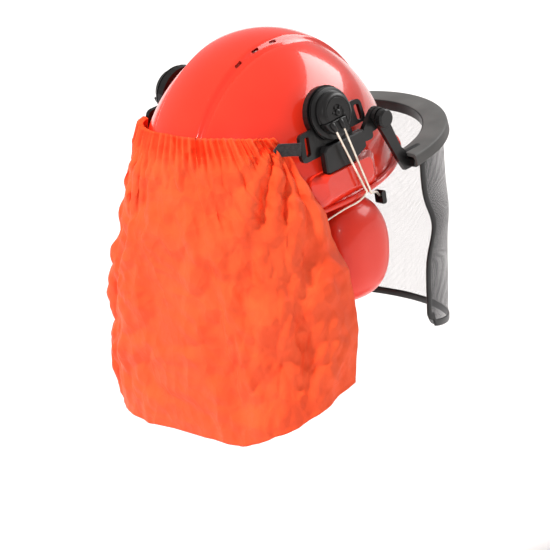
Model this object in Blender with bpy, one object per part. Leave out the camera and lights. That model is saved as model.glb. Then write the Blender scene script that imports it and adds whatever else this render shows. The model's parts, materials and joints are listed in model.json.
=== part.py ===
"""Forestry safety helmet: shell, harness, ear muffs, mesh visor and neck cape.

Frame: millimetres in this file, +Z up, the shell's rim plane at z = 0, the front faces -Y and the
wearer's right is -X. The origin is the centre of the rim plane, which is where the head sits.
Pieces that come in pairs are built once for each side; "out" is the distance from the middle plane.
"""

import math

import bmesh
import bpy
import numpy as np
from mathutils import Matrix, Vector

MM = 0.001
GAP = 0.3
SIDES = (("right", -1.0), ("left", 1.0))

# Shell
SHELL_HALF_WIDTH = 109.0
SHELL_HALF_LENGTH = 136.0
SHELL_HEIGHT = 147.0
SHELL_WALL = 2.6
CREST_HEIGHT = 4.5
CREST_TOP_HALF = 26.0
CREST_FOOT_HALF = 34.0
RIM_WIDTH = 5.0
PEAK_LENGTH = 14.0
PEAK_HALF_WIDTH = 84.0
BOSS_TOP = 33.0
BOSS_OUT = 117.0
SLOT_WIDTH = 32.0
SLOT_DEPTH = 21.0
SLOT_Y = 3.0
BLADE_OUT = 111.8
BLADE_THICKNESS = 3.4
VENT_LENGTH = 10.0
VENT_HEIGHT = 3.6
VENT_SPACING = 24.0

# Swivel disc that carries the muff arm
SWIVEL_Y = 6.0
SWIVEL_Z = 88.0
SEAT_RADIUS = 29.0
SEAT_OUT = (101.5, 107.6)
DISC_RADIUS = 27.0
DISC_OUT = (108.0, 113.0)
CAP_RADIUS = 21.0
CAP_OUT = (113.0 + GAP, 121.0)
BLOCK_OUT = (106.9, 115.0)
BLOCK_Y = (-26.0, 30.0)
BLOCK_Z = (BOSS_TOP + GAP, 59.5)
BLOCK_CHAMFER = (22.0, 8.5)
BORE_RADIUS = 3.4
PIN_RADIUS = 3.0

# Visor
VISOR_PIVOT_Y = -46.5
VISOR_PIVOT_Z = 63.5
VISOR_KNOB_RADIUS = 9.2
GUARD_HALF_WIDTH = 129.0
GUARD_END_Y = -75.0
GUARD_FRONT_Y = -206.0
GUARD_END_Z = 17.5
GUARD_FRONT_Z = 21.5
GUARD_WIDTH = 24.0
GUARD_SKIRT = 11.5
SCREEN_HALF_WIDTH = 115.0
SCREEN_END_Y = -96.0
SCREEN_FRONT_Y = -202.0
SCREEN_SLOPE = 0.11
SCREEN_CURVE = 2.5
SCREEN_BUMP = 12.0
SCREEN_BUMP_Z = -68.0
SCREEN_BUMP_LENGTH = 24.0
SCREEN_SIDE_BOTTOM = -165.0
SCREEN_FRONT_BOTTOM = -196.0
SCREEN_THICKNESS = 1.0
TRIM_WIDTH = 7.0
TRIM_THICKNESS = 2.6

# Ear muffs
CUP_Y = -6.0
CUP_Z = -57.0
CUP_HALF_LENGTH = 42.0
CUP_HALF_HEIGHT = 52.0
CUP_OUT = (88.0, 121.0)
CUP_WALL = 2.4
CUP_LEAN = math.radians(6.3)
CUSHION_OUT = (71.0, 85.0)
BAFFLE_OUT = (85.0 + GAP, 88.0 - GAP)
PIVOT_Z = -22.0
PIVOT_OUT = 96.0
WIRE_RADIUS = 1.2
WIRE_OUT = 123.0
TILT_OUT = 121.0
TILT_Z = 82.0
# Each wire's straight run, as (y, z) at its top and at its bend above the cup.
WIRE_RUNS = {"rear": ((20.0, 81.0), (-8.5, 3.0)), "front": ((8.0, 81.0), (-14.0, 0.0))}

# Harness
HEAD_HALF_WIDTH = 79.0
HEAD_HALF_LENGTH = 101.0
BAND_HEIGHT = 26.0
BAND_THICKNESS = 1.8
BAND_Z = 17.0
NAPE_Y = 100.0
NAPE_Z = -22.0
PINION_TEETH = 8
PINION_PITCH_RADIUS = 8.0
TOOTH_HEIGHT = 2.4
RACK_REACH = 37.0
STRAP_WIDTH = 19.0
STRAP_TURN = 40.0
CHIN_STRAP_WIDTH = 15.0

# Neck cape: drop of the cloth, and its plan at five heights (share of the drop, half width,
# depth behind the origin, squareness of the plan, y of the front edge).
CAPE_THICKNESS = 3.0
CAPE_TOP_BACK = 92.0
CAPE_TOP_CORNER = 79.0
CAPE_HEM_BACK = -213.0
CAPE_HEM_FRONT = -172.0
CAPE_DRIFT = 12.0
CAPE_PLAN = (
    (0.00, 104.0, 118.0, 2.0, 64.0),
    (0.10, 110.0, 131.0, 2.1, 58.0),
    (0.30, 124.0, 149.0, 2.5, 50.0),
    (0.55, 140.0, 151.0, 3.2, 50.0),
    (1.00, 151.0, 153.0, 4.0, 60.0),
)

COLOURS = {
    "shell_red": ((1.0, 0.09, 0.035), 0.16, 0.0),
    "black_plastic": ((0.018, 0.017, 0.017), 0.42, 0.0),
    "guard_grey": ((0.23, 0.22, 0.21), 0.55, 0.0),
    "screen_grey": ((0.12, 0.12, 0.12), 0.45, 0.6),
    "trim_grey": ((0.06, 0.06, 0.06), 0.5, 0.0),
    "cape_orange": ((1.0, 0.13, 0.04), 0.55, 0.0),
    "webbing_black": ((0.02, 0.02, 0.02), 0.8, 0.0),
    "steel_wire": ((0.72, 0.70, 0.66), 0.25, 1.0),
    "foam_black": ((0.03, 0.03, 0.03), 0.9, 0.0),
    "cushion_black": ((0.025, 0.025, 0.025), 0.5, 0.0),
    "band_grey": ((0.08, 0.08, 0.085), 0.5, 0.0),
}


# ---------------------------------------------------------------- helpers

def clear_scene():
    for obj in list(bpy.data.objects):
        bpy.data.objects.remove(obj, do_unlink=True)


def make_materials():
    made = {}
    for name, (colour, roughness, metallic) in COLOURS.items():
        material = bpy.data.materials.new(name)
        material.use_nodes = True
        shader = material.node_tree.nodes["Principled BSDF"]
        shader.inputs["Base Color"].default_value = (*colour, 1.0)
        shader.inputs["Roughness"].default_value = roughness
        shader.inputs["Metallic"].default_value = metallic
        made[name] = material
    return made


def solid(name, points, faces, material=None, smooth=False):
    """A mesh object from points in millimetres, with doubled points joined and faces turned out."""
    mesh = bpy.data.meshes.new(name)
    mesh.from_pydata([Vector(p) * MM for p in points], [], [tuple(face) for face in faces])
    work = bmesh.new()
    work.from_mesh(mesh)
    bmesh.ops.remove_doubles(work, verts=work.verts, dist=1e-6)
    bmesh.ops.dissolve_degenerate(work, edges=work.edges, dist=1e-7)
    bmesh.ops.recalc_face_normals(work, faces=work.faces)
    if work.calc_volume(signed=True) < 0:
        bmesh.ops.reverse_faces(work, faces=work.faces)
    work.to_mesh(mesh)
    work.free()
    obj = bpy.data.objects.new(name, mesh)
    bpy.context.scene.collection.objects.link(obj)
    if material is not None:
        mesh.materials.append(MATERIALS[material])
    if smooth:
        mesh.shade_smooth()
        mesh.set_sharp_from_angle(angle=math.radians(35))
    return obj


def loft(name, loops, material=None, closed=False, smooth=False):
    """Joins equal closed loops one after another; the ends are capped unless the path is closed."""
    loops = [np.asarray(loop, float) for loop in loops]
    size = len(loops[0])
    faces = []
    count = len(loops)
    for i in range(count if closed else count - 1):
        a, b = i * size, (i + 1) % count * size
        for k in range(size):
            m = (k + 1) % size
            faces.append((a + k, a + m, b + m, b + k))
    if not closed:
        faces.append(tuple(range(size)))
        faces.append(tuple(range((count - 1) * size, count * size))[::-1])
    return solid(name, np.concatenate(loops), faces, material, smooth)


def slab(name, front, back, material=None, smooth=False):
    """A closed sheet between two point grids of the same size, with walls along its four edges."""
    front, back = np.asarray(front, float), np.asarray(back, float)
    rows, columns = front.shape[:2]
    offset = rows * columns

    def at(side, i, j):
        return side * offset + i * columns + j

    faces = []
    for i in range(rows - 1):
        for j in range(columns - 1):
            for side in (0, 1):
                corners = ((i, j), (i + 1, j), (i + 1, j + 1), (i, j + 1))
                faces.append(tuple(at(side, *corner) for corner in corners))
    for i in range(rows - 1):
        for j in (0, columns - 1):
            faces.append((at(0, i, j), at(0, i + 1, j), at(1, i + 1, j), at(1, i, j)))
    for j in range(columns - 1):
        for i in (0, rows - 1):
            faces.append((at(0, i, j), at(0, i, j + 1), at(1, i, j + 1), at(1, i, j)))
    points = np.concatenate([front.reshape(-1, 3), back.reshape(-1, 3)])
    return solid(name, points, faces, material, smooth)


def prism(name, outline, low, high, side=1.0, material=None, smooth=False):
    """An outline of (y, z) points drawn out across the width, from out = low to out = high."""
    loops = [[(side * out, y, z) for y, z in outline] for out in (low, high)]
    return loft(name, loops, material, smooth=smooth)


def arc(centre, radius, start, end, steps):
    """Points on a circle's arc, angles in degrees."""
    angles = np.radians(np.linspace(start, end, steps + 1))
    return [(centre[0] + radius * math.cos(a), centre[1] + radius * math.sin(a)) for a in angles]


def circle(centre, radius, steps=24):
    return arc(centre, radius, 0, 360, steps)[:-1]


def box_outline(y_range, z_range, corner=0.0, steps=3):
    """A rectangle of (y, z) points with round corners."""
    (y0, y1), (z0, z1) = y_range, z_range
    if corner <= 0:
        return [(y0, z0), (y1, z0), (y1, z1), (y0, z1)]
    points = arc((y0 + corner, z0 + corner), corner, 180, 270, steps)
    points += arc((y1 - corner, z0 + corner), corner, 270, 360, steps)
    points += arc((y1 - corner, z1 - corner), corner, 0, 90, steps)
    points += arc((y0 + corner, z1 - corner), corner, 90, 180, steps)
    return points


def turned(name, centre, profile, side, material, segments=28):
    """A body turned about an axis along X through centre (y, z); profile is a loop of (r, out)."""
    y, z = centre
    loops = []
    for k in range(segments):
        angle = 2 * math.pi * k / segments
        c, s = math.cos(angle), math.sin(angle)
        loops.append([(side * out, y + r * c, z + r * s) for r, out in profile])
    return loft(name, loops, material, closed=True, smooth=True)


def boolean(obj, other, operation):
    """Cuts, joins or keeps the common part with a helper object, which isn't part of the helmet."""
    other.hide_render = True
    other.display_type = "WIRE"
    modifier = obj.modifiers.new(other.name, "BOOLEAN")
    modifier.operation = operation
    modifier.solver = "EXACT"
    modifier.object = other
    return obj


def cut(obj, *others):
    for other in others:
        boolean(obj, other, "DIFFERENCE")
    return obj


def joined(obj, *others):
    for other in others:
        boolean(obj, other, "UNION")
    return obj


def bevel(obj, width):
    modifier = obj.modifiers.new("edge", "BEVEL")
    modifier.width = width * MM
    modifier.segments = 1
    modifier.limit_method = "ANGLE"
    modifier.angle_limit = math.radians(50)
    return obj


def along(points, steps):
    """A smooth curve through a few points, read at equal shares of its length."""
    points = np.asarray(points, float)
    ends = np.concatenate([[2 * points[0] - points[1]], points, [2 * points[-1] - points[-2]]])
    fine = []
    for i in range(1, len(ends) - 2):
        a, b, c, d = ends[i - 1 : i + 3]
        square, cube = 2 * a - 5 * b + 4 * c - d, 3 * b - a - 3 * c + d
        for t in np.linspace(0, 1, 12, endpoint=False):
            fine.append(0.5 * (2 * b + (c - a) * t + square * t * t + cube * t ** 3))
    fine.append(ends[-2])
    fine = np.array(fine)
    lengths = np.concatenate([[0], np.cumsum(np.linalg.norm(np.diff(fine, axis=0), axis=1))])
    wanted = np.linspace(0, lengths[-1], steps)
    return np.stack([np.interp(wanted, lengths, fine[:, k]) for k in range(3)], axis=1)


def tube(name, points, radius, material, sides=8):
    """A round bar along a row of points."""
    loops = []
    normal = None
    for i, point in enumerate(points):
        tangent = points[min(i + 1, len(points) - 1)] - points[max(i - 1, 0)]
        tangent = tangent / np.linalg.norm(tangent)
        if normal is None:
            normal = np.cross(tangent, (0.3, 0.2, 0.9))
        normal = normal - tangent * (normal @ tangent)
        normal /= np.linalg.norm(normal)
        other = np.cross(tangent, normal)
        angles = 2 * math.pi * np.arange(sides) / sides
        loops.append([point + radius * (math.cos(a) * normal + math.sin(a) * other) for a in angles])
    return loft(name, loops, material, smooth=True)


def ribbon(name, centres, across, outward, width, thickness, material):
    """Flat webbing along a row of centres; width lies along across, thickness along outward."""
    loops = []
    for centre, side_way, out_way in zip(centres, across, outward):
        half, deep = side_way * (width / 2), out_way * (thickness / 2)
        near, far = centre - deep, centre + deep
        loops.append([near - half, near + half, far + half, far - half])
    return loft(name, loops, material)


def tangents_along(points):
    """The unit direction of a row of points at each of them."""
    last = len(points) - 1
    return [unit(points[min(i + 1, last)] - points[max(i - 1, 0)]) for i in range(last + 1)]


def unit(vector):
    vector = np.asarray(vector, float)
    return vector / np.linalg.norm(vector)


def smoothstep(low, high, value):
    t = np.clip((value - low) / (high - low), 0, 1)
    return t * t * (3 - 2 * t)


def empty(name, place):
    obj = bpy.data.objects.new(name, None)
    obj.empty_display_size = 0.02
    obj.location = Vector(place) * MM
    bpy.context.scene.collection.objects.link(obj)
    return obj


def hang(parent, *children):
    """Parents pieces to an empty that stands on their joint's axis, leaving them in place."""
    for child in children:
        child.parent = parent
        child.matrix_parent_inverse = Matrix.Translation(parent.location).inverted()


# ---------------------------------------------------------------- shell

def dome_point(x, beta, inset=0.0):
    """A point of the dome on the fore-and-aft arc at x; beta runs from the front rim to the back."""
    half_width = SHELL_HALF_WIDTH - inset
    share = math.sqrt(max(0.0, 1 - (x / SHELL_HALF_WIDTH) ** 2))
    y = -(SHELL_HALF_LENGTH - inset) * share * math.cos(beta)
    z = (SHELL_HEIGHT - inset) * share * math.sin(beta)
    crest = 1 - smoothstep(CREST_TOP_HALF, CREST_FOOT_HALF, abs(x))
    z += CREST_HEIGHT * crest * smoothstep(20, 90, z)
    return (x * half_width / SHELL_HALF_WIDTH, y, z)


def rim_offset(point, outward, height):
    """Moves a rim point outward, and forward under the peak, and sets its height."""
    normal = unit((point[0] / SHELL_HALF_WIDTH ** 2, point[1] / SHELL_HALF_LENGTH ** 2, 0))
    peak = 0.0
    if point[1] < 0 and outward > 2:
        peak = PEAK_LENGTH * max(0.0, 1 - (point[0] / PEAK_HALF_WIDTH) ** 2) ** 1.2
    return (point[0] + normal[0] * outward, point[1] + normal[1] * outward - peak, height)


def make_shell():
    half = (0, 13, CREST_TOP_HALF, 30, CREST_FOOT_HALF, 47, 62, 76, 88, 98, 105, SHELL_HALF_WIDTH)
    columns = [-x for x in half[:0:-1]] + list(half)
    betas = np.linspace(0, math.pi, 17)
    points, faces = [], []
    rims = []
    for inset in (0.0, SHELL_WALL):
        base = len(points)
        for x in columns:
            points += [dome_point(x, beta, inset) for beta in betas]
        for i in range(len(columns) - 1):
            for j in range(len(betas) - 1):
                a = base + i * len(betas) + j
                b = a + len(betas)
                faces.append((a, a + 1, b + 1, b))
        front = [base + i * len(betas) for i in range(len(columns))]
        back = [base + i * len(betas) + len(betas) - 1 for i in range(len(columns))]
        rims.append(front + back[-2:0:-1])
    rows = [rims[0]]
    rim = ((1.2, -1.0), (RIM_WIDTH, 2.5), (RIM_WIDTH + 0.8, -0.8), (0.5, -4.0), (-2.2, -4.0))
    for outward, height in rim:
        start = len(points)
        points += [rim_offset(points[i], outward, height) for i in rims[0]]
        rows.append(list(range(start, len(points))))
    rows.append(rims[1])
    for low, high in zip(rows[:-1], rows[1:]):
        for k in range(len(low)):
            m = (k + 1) % len(low)
            faces.append((low[k], low[m], high[m], high[k]))
    shell = solid("shell", points, faces, "shell_red", smooth=True)
    for side_name, side in SIDES:
        outline = box_outline((SLOT_Y - 33, SLOT_Y + 33), (4, BOSS_TOP), 7)
        boss = prism("boss_" + side_name, outline, 104.5, BOSS_OUT, side)
        joined(shell, bevel(boss, 2.0))
    for side_name, side in SIDES:
        y_range = (SLOT_Y - SLOT_WIDTH / 2, SLOT_Y + SLOT_WIDTH / 2)
        outline = box_outline(y_range, (BOSS_TOP - SLOT_DEPTH, BOSS_TOP + 8))
        reach = BLADE_THICKNESS / 2 + GAP
        cut(shell, prism("slot_" + side_name, outline, BLADE_OUT - reach, BLADE_OUT + reach, side))
        for k in range(3):
            y = 17.0 + (k - 1) * VENT_SPACING
            middle = (CREST_TOP_HALF + CREST_FOOT_HALF) / 2
            share = 1 - (middle / SHELL_HALF_WIDTH) ** 2 - (y / SHELL_HALF_LENGTH) ** 2
            z = SHELL_HEIGHT * math.sqrt(share) + CREST_HEIGHT / 2
            half_length, half_height = VENT_LENGTH / 2, VENT_HEIGHT / 2
            outline = box_outline((y - half_length, y + half_length), (z - half_height, z + half_height))
            cut(shell, prism(f"vent_{side_name}_{k}", outline, 18, 44, side))
    return shell


# ---------------------------------------------------------------- harness

def head_point(angle, grow=0.0):
    """A point of the headband's oval; angle 0 is the front, and it grows to the wearer's left."""
    x = (HEAD_HALF_WIDTH + grow) * math.sin(angle)
    return np.array([x, -(HEAD_HALF_LENGTH + grow) * math.cos(angle), 0.0])


def head_normal(angle):
    return unit((math.sin(angle) / HEAD_HALF_WIDTH, -math.cos(angle) / HEAD_HALF_LENGTH, 0))


def band_height(y):
    """Middle height and width of the headband: level over the ears, lower and narrower at the nape."""
    drop = smoothstep(42, 92, y)
    return BAND_Z + (NAPE_Z - BAND_Z) * drop, BAND_HEIGHT - 12.0 * drop


def make_headband():
    loops = []
    for angle in np.radians(np.linspace(-143, 143, 45)):
        point, normal = head_point(angle), head_normal(angle)
        middle, width = band_height(point[1])
        loop = []
        for out, up in ((0, -0.5), (1, -0.5), (1, 0.5), (0, 0.5)):
            place = point + normal * (out * BAND_THICKNESS)
            loop.append((place[0], place[1], middle + up * width))
        loops.append(loop)
    return loft("headband", loops, "band_grey")


def make_sweatband():
    loops = []
    for angle in np.radians(np.linspace(-62, 62, 19)):
        point, normal = head_point(angle, -GAP), head_normal(angle)
        loop = []
        for deep, up in ((0, -13), (3.0, -14), (5.0, -9), (5.0, 9), (3.0, 14), (0, 13)):
            place = point - normal * deep
            loop.append((place[0], place[1], BAND_Z + up))
        loops.append(loop)
    return loft("sweatband", loops, "foam_black")


def oval_reach(way, half_width, half_length):
    """How far an oval about the origin reaches in a level direction."""
    return half_width * half_length / math.hypot(half_length * way[0], half_width * way[1])


def shell_reach(way):
    return oval_reach(way, SHELL_HALF_WIDTH - SHELL_WALL, SHELL_HALF_LENGTH - SHELL_WALL)


def make_harness_clips():
    """Hangers that hold the headband and the ends of the crown straps off the shell's inside."""
    places = {
        "front_right": -STRAP_TURN,
        "front_left": STRAP_TURN,
        "rear_left": 180 - STRAP_TURN,
        "rear_right": 180 + STRAP_TURN,
    }
    for name, degrees in places.items():
        angle = math.radians(degrees)
        way = np.array([math.sin(angle), -math.cos(angle), 0.0])
        across = np.array([-way[1], way[0], 0.0])
        near = oval_reach(way, HEAD_HALF_WIDTH, HEAD_HALF_LENGTH) + BAND_THICKNESS + 3.0
        far = shell_reach(way) - 6.0
        profile = ((near, 6), (near + 3, 3), (far, 3), (far, 22), (far - 3, 22), (far - 3, 7), (near, 9))
        side_line = [way * r + np.array([0, 0, z]) for r, z in profile]
        loops = [[point + across * shift for point in side_line] for shift in (-9.0, 9.0)]
        loft("harness_clip_" + name, loops, "black_plastic")


def make_crown_straps():
    """Two webbing straps that cross under the crown, one just below the other."""
    for name, degrees, top in (("a", -STRAP_TURN, 108.0), ("b", STRAP_TURN, 104.0)):
        angle = math.radians(degrees)
        way = np.array([math.sin(angle), -math.cos(angle), 0.0])
        across = np.array([-way[1], way[0], 0.0])
        reach, foot = shell_reach(way) - 10.4, 9.0
        angles = np.linspace(0, math.pi, 21)
        power = 2 / 2.3
        centres = []
        for a in angles:
            run = math.copysign(abs(math.cos(a)) ** power, math.cos(a))
            centres.append(way * reach * run + np.array([0, 0, foot + (top - foot) * math.sin(a) ** power]))
        centres = np.array(centres)
        outward = [unit(np.cross(across, t)) for t in tangents_along(centres)]
        sideways = [across] * len(centres)
        ribbon("crown_strap_" + name, centres, sideways, outward, STRAP_WIDTH, 1.4, "webbing_black")


def gear_outline(teeth, pitch_radius):
    """Outline of a small gear with thin teeth, so that it runs freely between its racks."""
    points = []
    step = 2 * math.pi / teeth
    for k in range(teeth):
        middle = math.pi / 2 + k * step
        root, tip = pitch_radius - TOOTH_HEIGHT / 2 - 0.3, pitch_radius + TOOTH_HEIGHT / 2
        for radius, turn in ((root, -0.2), (tip, -0.07), (tip, 0.07), (root, 0.2)):
            angle = middle + turn
            points.append((radius * math.cos(angle), radius * math.sin(angle)))
    return points


def make_rack(name, way, above):
    """A toothed band end; way is the X direction it reaches in, and above its side of the pinion."""
    pitch = 2 * math.pi * PINION_PITCH_RADIUS / PINION_TEETH
    flip = 1.0 if above else -1.0
    pitch_line = flip * PINION_PITCH_RADIUS
    root = pitch_line + flip * (TOOTH_HEIGHT / 2 + 0.3)
    tip = pitch_line - flip * TOOTH_HEIGHT / 2
    back = root + flip * 3.0
    outline = []
    for k in range(-2, 5):
        x = (k + 0.5) * pitch
        for shift, height in ((-1.1, root), (-0.55, tip), (0.55, tip), (1.1, root)):
            outline.append((x + shift, height))
    start = outline[0][0] - 0.8
    outline = [(start, root)] + outline + [(RACK_REACH, root), (RACK_REACH, back), (start, back)]
    loops = []
    for y in (NAPE_Y + 4.5, NAPE_Y + 7.0):
        loops.append([(way * x, y, NAPE_Z + z) for x, z in outline])
    rack = loft(name, loops, "band_grey")
    turns = ((34.5, 105.75), (40.5, 103), (43.5, 94), (45.4, 84), (46, 78.5), (50, 72))
    route = along([(way * x, y, NAPE_Z) for x, y in turns], 10)
    up = np.array([0.0, 0.0, 1.0])
    outward = [unit(np.cross(up, t)) for t in tangents_along(route)]
    tail = ribbon(name + "_tail", route, [up] * len(route), outward, 2 * abs(back), 2.3, None)
    return joined(rack, tail)


def make_nape():
    centre = (0.0, NAPE_Z)

    def block(name, x_half, y_range, z_half, material=None):
        corners = ((-x_half, -z_half), (x_half, -z_half), (x_half, z_half), (-x_half, z_half))
        return loft(name, [[(x, y, NAPE_Z + z) for x, z in corners] for y in y_range], material)

    housing = bevel(block("nape_housing", 27, (NAPE_Y + 2.4, NAPE_Y + 10.5), 19, "black_plastic"), 1.5)
    cut(housing, block("nape_inside", 24, (NAPE_Y + 0.0, NAPE_Y + 8.4), 16))
    for name, way, above in (("right", -1.0, True), ("left", 1.0, False)):
        low = 6.2 if above else -13.2
        corners = ((0, low), (way * 35, low), (way * 35, low + 7.0), (0, low + 7.0))
        loops = [[(x, y, NAPE_Z + z) for x, z in corners] for y in (NAPE_Y + 0.0, NAPE_Y + 8.4)]
        cut(housing, loft("nape_gate_" + name, loops))

    def round_piece(name, rings, material=None):
        """A body turned about the ratchet's axis; rings are (radius, distance behind NAPE_Y)."""
        loops = [[(x, NAPE_Y + behind, z) for x, z in circle(centre, radius)] for radius, behind in rings]
        return loft(name, loops, material, smooth=True)

    cut(housing, round_piece("nape_bore", ((3.6, 5), (3.6, 15))))
    bevel(block("nape_cover", 27, (NAPE_Y + 0.3, NAPE_Y + 2.1), 19, "black_plastic"), 0.5)
    pad = block("nape_pad", 24, (NAPE_Y - 5.0, NAPE_Y + 0.0), 16, "foam_black")
    bevel(pad, 2.0)

    rings = ((16.5, 10.9), (17.0, 12), (17.0, 18), (15.0, 20))
    knob = round_piece("ratchet_knob", rings, "black_plastic")
    joined(knob, round_piece("knob_stem", ((3.2, 7.8), (3.2, 12.5))))
    loops = []
    for y in (NAPE_Y + 3.0, NAPE_Y + 7.5):
        loops.append([(x, y, NAPE_Z + z) for x, z in gear_outline(PINION_TEETH, PINION_PITCH_RADIUS)])
    pinion = loft("ratchet_pinion", loops, "black_plastic")
    axis = empty("ratchet_axis", (0, NAPE_Y + 10, NAPE_Z))
    hang(axis, knob, pinion)
    hang(empty("band_axis_right", (-30, NAPE_Y + 5.75, NAPE_Z)), make_rack("nape_band_right", -1.0, True))
    hang(empty("band_axis_left", (30, NAPE_Y + 5.75, NAPE_Z)), make_rack("nape_band_left", 1.0, False))


def make_chin_strap():
    """Webbing from behind each cup, under it and down to a buckle below the chin."""
    route = [(83, 66, 10), (86, 62, -40), (75, 42, -108), (48, -2, -142), (19.5, -36, -155)]
    for side_name, side in SIDES:
        centres = along([(side * x, y, z) for x, y, z in route], 15)
        tangents = tangents_along(centres)
        inward = [unit((-side * 0.85, 0.15, 0.5 * share)) for share in np.linspace(0, 1, 15)]
        across = [unit(np.cross(t, n)) for t, n in zip(tangents, inward)]
        outward = [unit(np.cross(a, t)) for a, t in zip(across, tangents)]
        name = "chin_strap_" + side_name
        ribbon(name, centres, across, outward, CHIN_STRAP_WIDTH, 1.5, "webbing_black")
    for name, x_range, half in (("socket", (-16.5, 7.0), 11.0), ("plug", (7.3, 16.5), 8.5)):
        outline = box_outline((-37.0 - half, -37.0 + half), (-159.5, -153.0), 1.5, 2)
        loops = [[(x, y, z) for y, z in outline] for x in x_range]
        loft("chin_buckle_" + name, loops, "black_plastic")


# ---------------------------------------------------------------- adapter and swivel

def make_adapter(side_name, side):
    centre = (SWIVEL_Y, SWIVEL_Z)
    (y0, y1), (z0, z1) = BLOCK_Y, BLOCK_Z
    outline = [(y0, z0 + BLOCK_CHAMFER[1]), (y0 + BLOCK_CHAMFER[0], z0)]
    outline += [(y1 - 2, z0), (y1, z0 + 2), (y1, z1 - 4), (y1 - 4, z1), (y0 + 2, z1), (y0, z1 - 2)]
    adapter = bevel(prism("adapter_" + side_name, outline, *BLOCK_OUT, side, "black_plastic"), 1.2)
    seat = prism("seat_" + side_name, circle(centre, SEAT_RADIUS, 28), *SEAT_OUT, side)
    neck = prism("neck_" + side_name, box_outline((-17, 28), (50, 80), 3), 103.5, SEAT_OUT[1], side)
    y_range = (SLOT_Y - SLOT_WIDTH / 2 + 1, SLOT_Y + SLOT_WIDTH / 2 - 1)
    outline = box_outline(y_range, (BOSS_TOP - SLOT_DEPTH + 1, z0 + 10), 2)
    reach = BLADE_THICKNESS / 2
    blade = prism("blade_" + side_name, outline, BLADE_OUT - reach, BLADE_OUT + reach, side)
    loop = prism("loop_" + side_name, box_outline((22, 53), (51, 81), 6), 103.6, 107.6, side)
    hook = prism("hook_" + side_name, box_outline((-41, -12), (64, 89), 6), 103.6, 107.4, side)
    joined(adapter, seat, neck, blade, loop, hook)
    cut(
        adapter,
        prism("loop_hole_" + side_name, box_outline((40.5, 46.5), (56, 76), 2), 100, 112, side),
        prism("hook_hole_" + side_name, box_outline((-37, -29.5), (68, 84), 2), 100, 112, side),
        prism("bore_" + side_name, circle(centre, BORE_RADIUS, 16), 98, 112, side),
    )
    return adapter


def make_swivel(side_name, side):
    """The swivel disc, its cap and screw, and the carrier that the two wires slide in."""
    centre = (SWIVEL_Y, SWIVEL_Z)
    r, (low, high) = DISC_RADIUS, DISC_OUT
    profile = [(BORE_RADIUS, low), (r - 1.2, low), (r, low + 1.2)]
    profile += [(r, high - 1.2), (r - 1.5, high), (BORE_RADIUS, high)]
    disc = turned("swivel_disc_" + side_name, centre, profile, side, "black_plastic")
    r, (low, high) = CAP_RADIUS, CAP_OUT
    profile = [(BORE_RADIUS, low), (r + 1.5, low), (r + 1.0, low + 3.0), (r - 2.5, high)]
    profile += [(7.5, high), (6.5, high - 1.2), (BORE_RADIUS, high - 1.2)]
    cap = turned("swivel_cap_" + side_name, centre, profile, side, "black_plastic")
    bay = box_outline((-3, 29), (60, 83))
    cut(cap, prism("carrier_bay_" + side_name, bay, low - 1, high + 2, side))
    profile = [(0, 99.0), (PIN_RADIUS, 99.0), (PIN_RADIUS, high - 0.8), (5.6, high - 0.8)]
    profile += [(5.2, high + 1.0), (0, high + 1.0)]
    screw = turned("pivot_screw_" + side_name, centre, profile, side, "steel_wire", 16)
    outline = [(0.5, 67.0), (14.0, 62.0), (25.5, 67.0), (28.2, 74.0)]
    outline += [(28.2, 82.2), (-2.2, 82.2), (-2.2, 74.0)]
    reach = (low + GAP, WIRE_OUT + WIRE_RADIUS + 1.2)
    carrier = prism("wire_carrier_" + side_name, outline, *reach, side, "black_plastic")
    for name, (top, bend) in WIRE_RUNS.items():
        cut(carrier, wire_channel(f"channel_{name}_{side_name}", side, top, bend))
    return disc, cap, screw, carrier


def wire_channel(name, side, top, bend):
    """A round channel along a wire's straight run, wide enough for the wire to slide."""
    a = np.array([side * WIRE_OUT, *top])
    b = np.array([side * WIRE_OUT, *bend])
    way = unit(b - a)
    return tube(name, np.array([a - way * 14, a + way * 26]), WIRE_RADIUS + 0.8, None)


def wire_route(name, side):
    """The centre line of a wire: straight out of the carrier, round the cup's top, to its pivot."""
    top, bend = WIRE_RUNS[name]
    turn = 1.0 if name == "rear" else -1.0
    a, b = np.array([WIRE_OUT, *top]), np.array([WIRE_OUT, *bend])
    way = unit(b - a)
    if turn > 0:
        turned_run = [(118, bend[0] + 7, -3.5), (110, 12, -8), (101, 29, -15)]
    else:
        turned_run = [(118, bend[0] - 8, -3.0), (110, -34, -8), (101, -46, -16)]
    route = [a, a + (b - a) * 0.5, b - way * 6, b - way * 1.0] + [np.array(p) for p in turned_run]
    route.append(np.array([PIVOT_OUT, pivot_y(turn) + turn * 1.5, PIVOT_Z]))
    return along(np.array(route) * np.array([side, 1, 1]), 22)


def make_wires(side_name, side):
    """Two sprung wires: straight out of the carrier, then one turns forward and one back."""
    wires = []
    for name in WIRE_RUNS:
        route = wire_route(name, side)
        wires.append(tube(f"muff_wire_{name}_{side_name}", route, WIRE_RADIUS, "steel_wire"))
    return wires


def pivot_y(turn):
    """y of the cup's front (turn -1) or rear (turn +1) pivot, just outside the cup's edge."""
    return CUP_Y - 3.5 + turn * (CUP_HALF_LENGTH + 1.0)


# ---------------------------------------------------------------- ear cups

def cup_outline(scale, steps=24, inset=0.0):
    """The cup's egg outline as (y, z), squarer at the bottom and leaning back with the cup."""
    c, s = math.cos(CUP_LEAN), math.sin(CUP_LEAN)
    points = []
    for k in range(steps):
        a = 2 * math.pi * k / steps
        power = 2 / (2.5 if math.sin(a) < 0 else 2.1)
        y = math.copysign(abs(math.cos(a)) ** power, math.cos(a)) * (CUP_HALF_LENGTH * scale - inset)
        z = math.copysign(abs(math.sin(a)) ** power, math.sin(a)) * (CUP_HALF_HEIGHT * scale - inset)
        points.append((CUP_Y + y * c - z * s, CUP_Z + y * s + z * c))
    return points


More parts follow.
